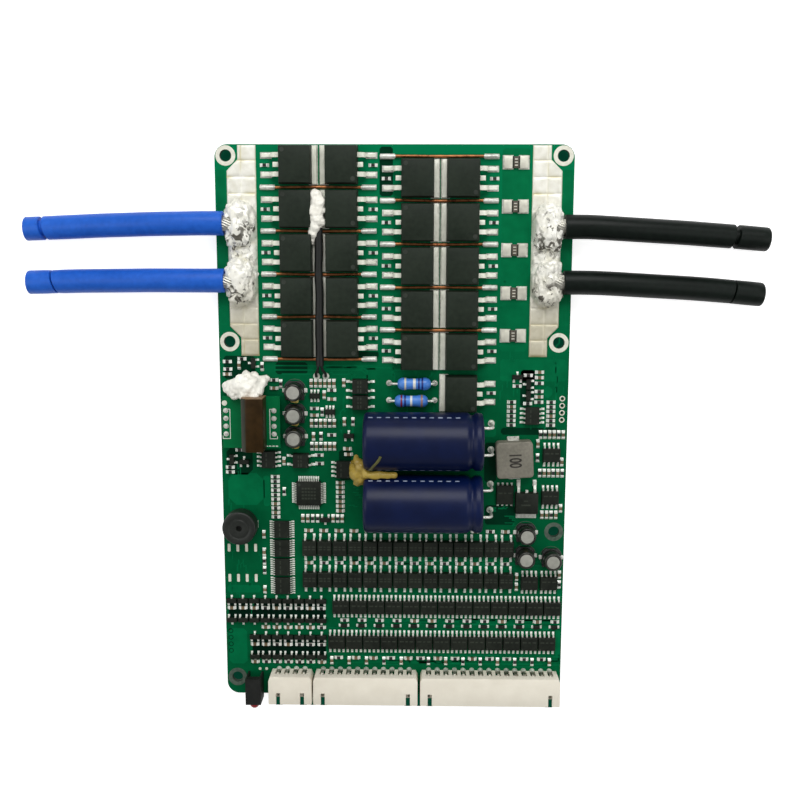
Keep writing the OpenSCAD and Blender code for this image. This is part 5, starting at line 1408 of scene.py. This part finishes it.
def melted(name, balls, voxel, wobble, floor_z, seed):
    """Joins balls (x, y, z, radius) into one skin, then roughens it like squeezed sealant."""
    lumps = bmesh.new()
    for x, y, z, r in balls:
        ball = bmesh.new()
        bmesh.ops.create_icosphere(ball, subdivisions=3, radius=r)
        stamp(lumps, as_mesh(ball), at(x, y, z))
    holder = bpy.data.objects.new(name, as_mesh(lumps))
    scene.collection.objects.link(holder)
    remesh = holder.modifiers.new("skin", "REMESH")
    remesh.mode = "VOXEL"
    remesh.voxel_size = voxel
    smooth = holder.modifiers.new("smooth", "SMOOTH")
    smooth.factor = 0.5
    smooth.iterations = 6
    shape = bmesh.new()
    shape.from_mesh(settled(holder))
    bpy.data.objects.remove(holder)
    for v in shape.verts:
        push = noise.fractal(v.co * 0.5 + Vector((seed, 0, 0)), 1.0, 2.0, 3) * wobble
        v.co += v.normal * push
        v.co.z = max(v.co.z, floor_z)
    return shape


heap = melted("heap", [(-45.8, 12.2, 1.4, 1.9), (-44.3, 12.4, 2.2, 2.7), (-42.4, 12.6, 3.6, 2.9),
    (-41, 14.2, 3.2, 2.6), (-40.3, 12.4, 4.2, 3.1), (-38.6, 13.2, 3.4, 2.6), (-37.6, 12.2, 3.6, 2.1),
    (-36.6, 14, 1.8, 1.7), (-35.6, 14.6, 1.0, 1.2), (-43.8, 10.8, 4.2, 1.5), (-38.9, 15.2, 1.6, 1.5),
    (-46.9, 12.6, 0.8, 1.2), (-40.8, 15.8, 1.6, 1.3), (-38.4, 10.9, 5.6, 1.3), (-41.2, 10.8, 5.9, 1.2)],
    0.3, 0.55, 0.02, 3)
make_piece("silicone_heap", heap, [silicone], ["silicone_blobs"], sharp=180)
plug = melted("plug", [(-20.9, 64.6, 2.9, 1.7), (-20.2, 62.6, 3.2, 2.1), (-20.8, 60.4, 3.2, 2.1),
    (-20.6, 58.2, 3.1, 2.1), (-19.4, 57.6, 3.4, 1.3), (-21.2, 56.2, 2.9, 1.8), (-21.7, 54.4, 2.6, 1.5),
    (-22, 52.9, 2.3, 1.0), (-21.8, 51.8, 2.0, 0.6), (-22.3, 62.8, 2.6, 1.1), (-18.9, 60.6, 3.2, 1.0),
    (-22.6, 58.8, 2.6, 1.0), (-23.1, 53.3, 1.6, 0.55), (-18.5, 53.6, 1.6, 0.5)], 0.22, 0.4, 0.9, 8)
make_piece("silicone_plug", plug, [silicone], sharp=180)

# ---------------------------------------------------------------- staking glue
# Yellow rubber adhesive bridges the left ends of the storage capacitors and runs along the gap
# between them, with one thin strand that was drawn up over the upper sleeve.
glue = grained("staking_glue", rgb(132, 108, 36), rgb(190, 166, 78), 240, (0.22, 0.38), 0.12, 0, 0.4)
strand_glue = grained("glue_strand", rgb(74, 76, 38), rgb(112, 110, 58), 400, (0.25, 0.4), 0.1)
bridge = melted("bridge", [(-9.6, -10.1, 8.6, 2.3), (-8.6, -8.2, 9.6, 1.8), (-9.6, -6.9, 9.2, 1.2),
    (-10, -5.8, 8.8, 0.8), (-8.9, -11.9, 9.2, 1.6), (-9.8, -13, 8.4, 1.0), (-10.6, -11.2, 7.6, 1.3),
    (-10.8, -8.9, 7.8, 1.2), (-7.2, -10.1, 10.4, 1.4), (-9.9, -10.1, 5.4, 2.0), (-10, -10, 2.6, 2.1),
    (-10.2, -10, 0.8, 2.4)] + [(-6.2 + 0.6 * k, -10.15, 10.9, 1.2 - 0.02 * k) for k in range(12)], 0.28,
    0.3, 0.02, 21)
make_piece("glue_bridge", bridge, [glue], ["staking_glue"], sharp=180)
thread = bmesh.new()
drawn = smooth_line([(-5.9, -8.3, 12.4), (-5.2, -7.2, 13.6), (-4.3, -6.1, 14.6), (-3.5, -4.9, 15.3),
    (-3.1, -4.0, 15.6)], 0.35)
sweep(thread, [(p, d, 0.4 + 0.08 * noise.noise(p * 0.8)) for p, d in zip(drawn, directions(drawn))], 10)
make_piece("glue_thread", thread, [strand_glue])

# ---------------------------------------------------------------- temperature probe
# A thermistor in a black sleeve lies between two transistor columns, and its two leads spread
# into the board below them.
sleeve_black = grained("probe_sleeve", rgb(14, 16, 14), rgb(26, 28, 25), 700, (0.4, 0.55), 0.08, 0, 0.35)
probe = bmesh.new()
spine = smooth_line([(-20.3, 56, 2.6), (-20.25, 50, 2.5), (-20.4, 44, 2.47), (-20.2, 38, 2.47),
    (-20.35, 30, 2.47), (-20.3, 22, 2.47), (-20.3, 18.6, 2.4)], 0.8)
sweep(probe, [(p, d, 1.12 + 0.05 * noise.noise(p * 0.6)) for p, d in zip(spine, directions(spine))], 20)
for way, x in ((-1, -21.5), (1, -18.9)):
    bent_lead(probe, [(-20.3 + way * 0.45, 19, 2.4), (-20.3 + way * 0.6, 17.6, 2.2), (x, 16.2, 1.4),
        (x, 15.4, 0.5), (x, 15.4, -3)], 0.4, 12, 0)
    ring(probe, x, 15.4, 0.45, 0.95, 0.05, 1, 20)
    solder_cone(probe, x, 15.4, 0.75, 0.42, 0.4, 1)
    solder_cone(probe, x, 15.4, 0.85, 0.42, 0.9, 1, -1.6, True)
make_piece("probe_lead", probe, [sleeve_black, joint_solder], ["temperature_probe"])

# ---------------------------------------------------------------- soldered through-holes
# Every wire that passes through the board is soldered, with a small cone on the underside.
cones = bmesh.new()
for y in can_rows.values():
    for side in (-lead_half, lead_half):
        ring(cones, lead_row, y + side, 0.45, 0.95, 0.06, 0, 24)
        solder_cone(cones, lead_row, y + side, 0.75, 0.42, 0.5, 0)
        solder_cone(cones, lead_row, y + side, 1.2, 0.42, 1.1, 0, -1.6, True)
for x, _ in converter_columns:
    for y in converter_rows:
        solder_cone(cones, x, y, 0.8, 0.4, 0.9, 0, -1.6, True)
make_piece("hole_solder", cones, [joint_solder])
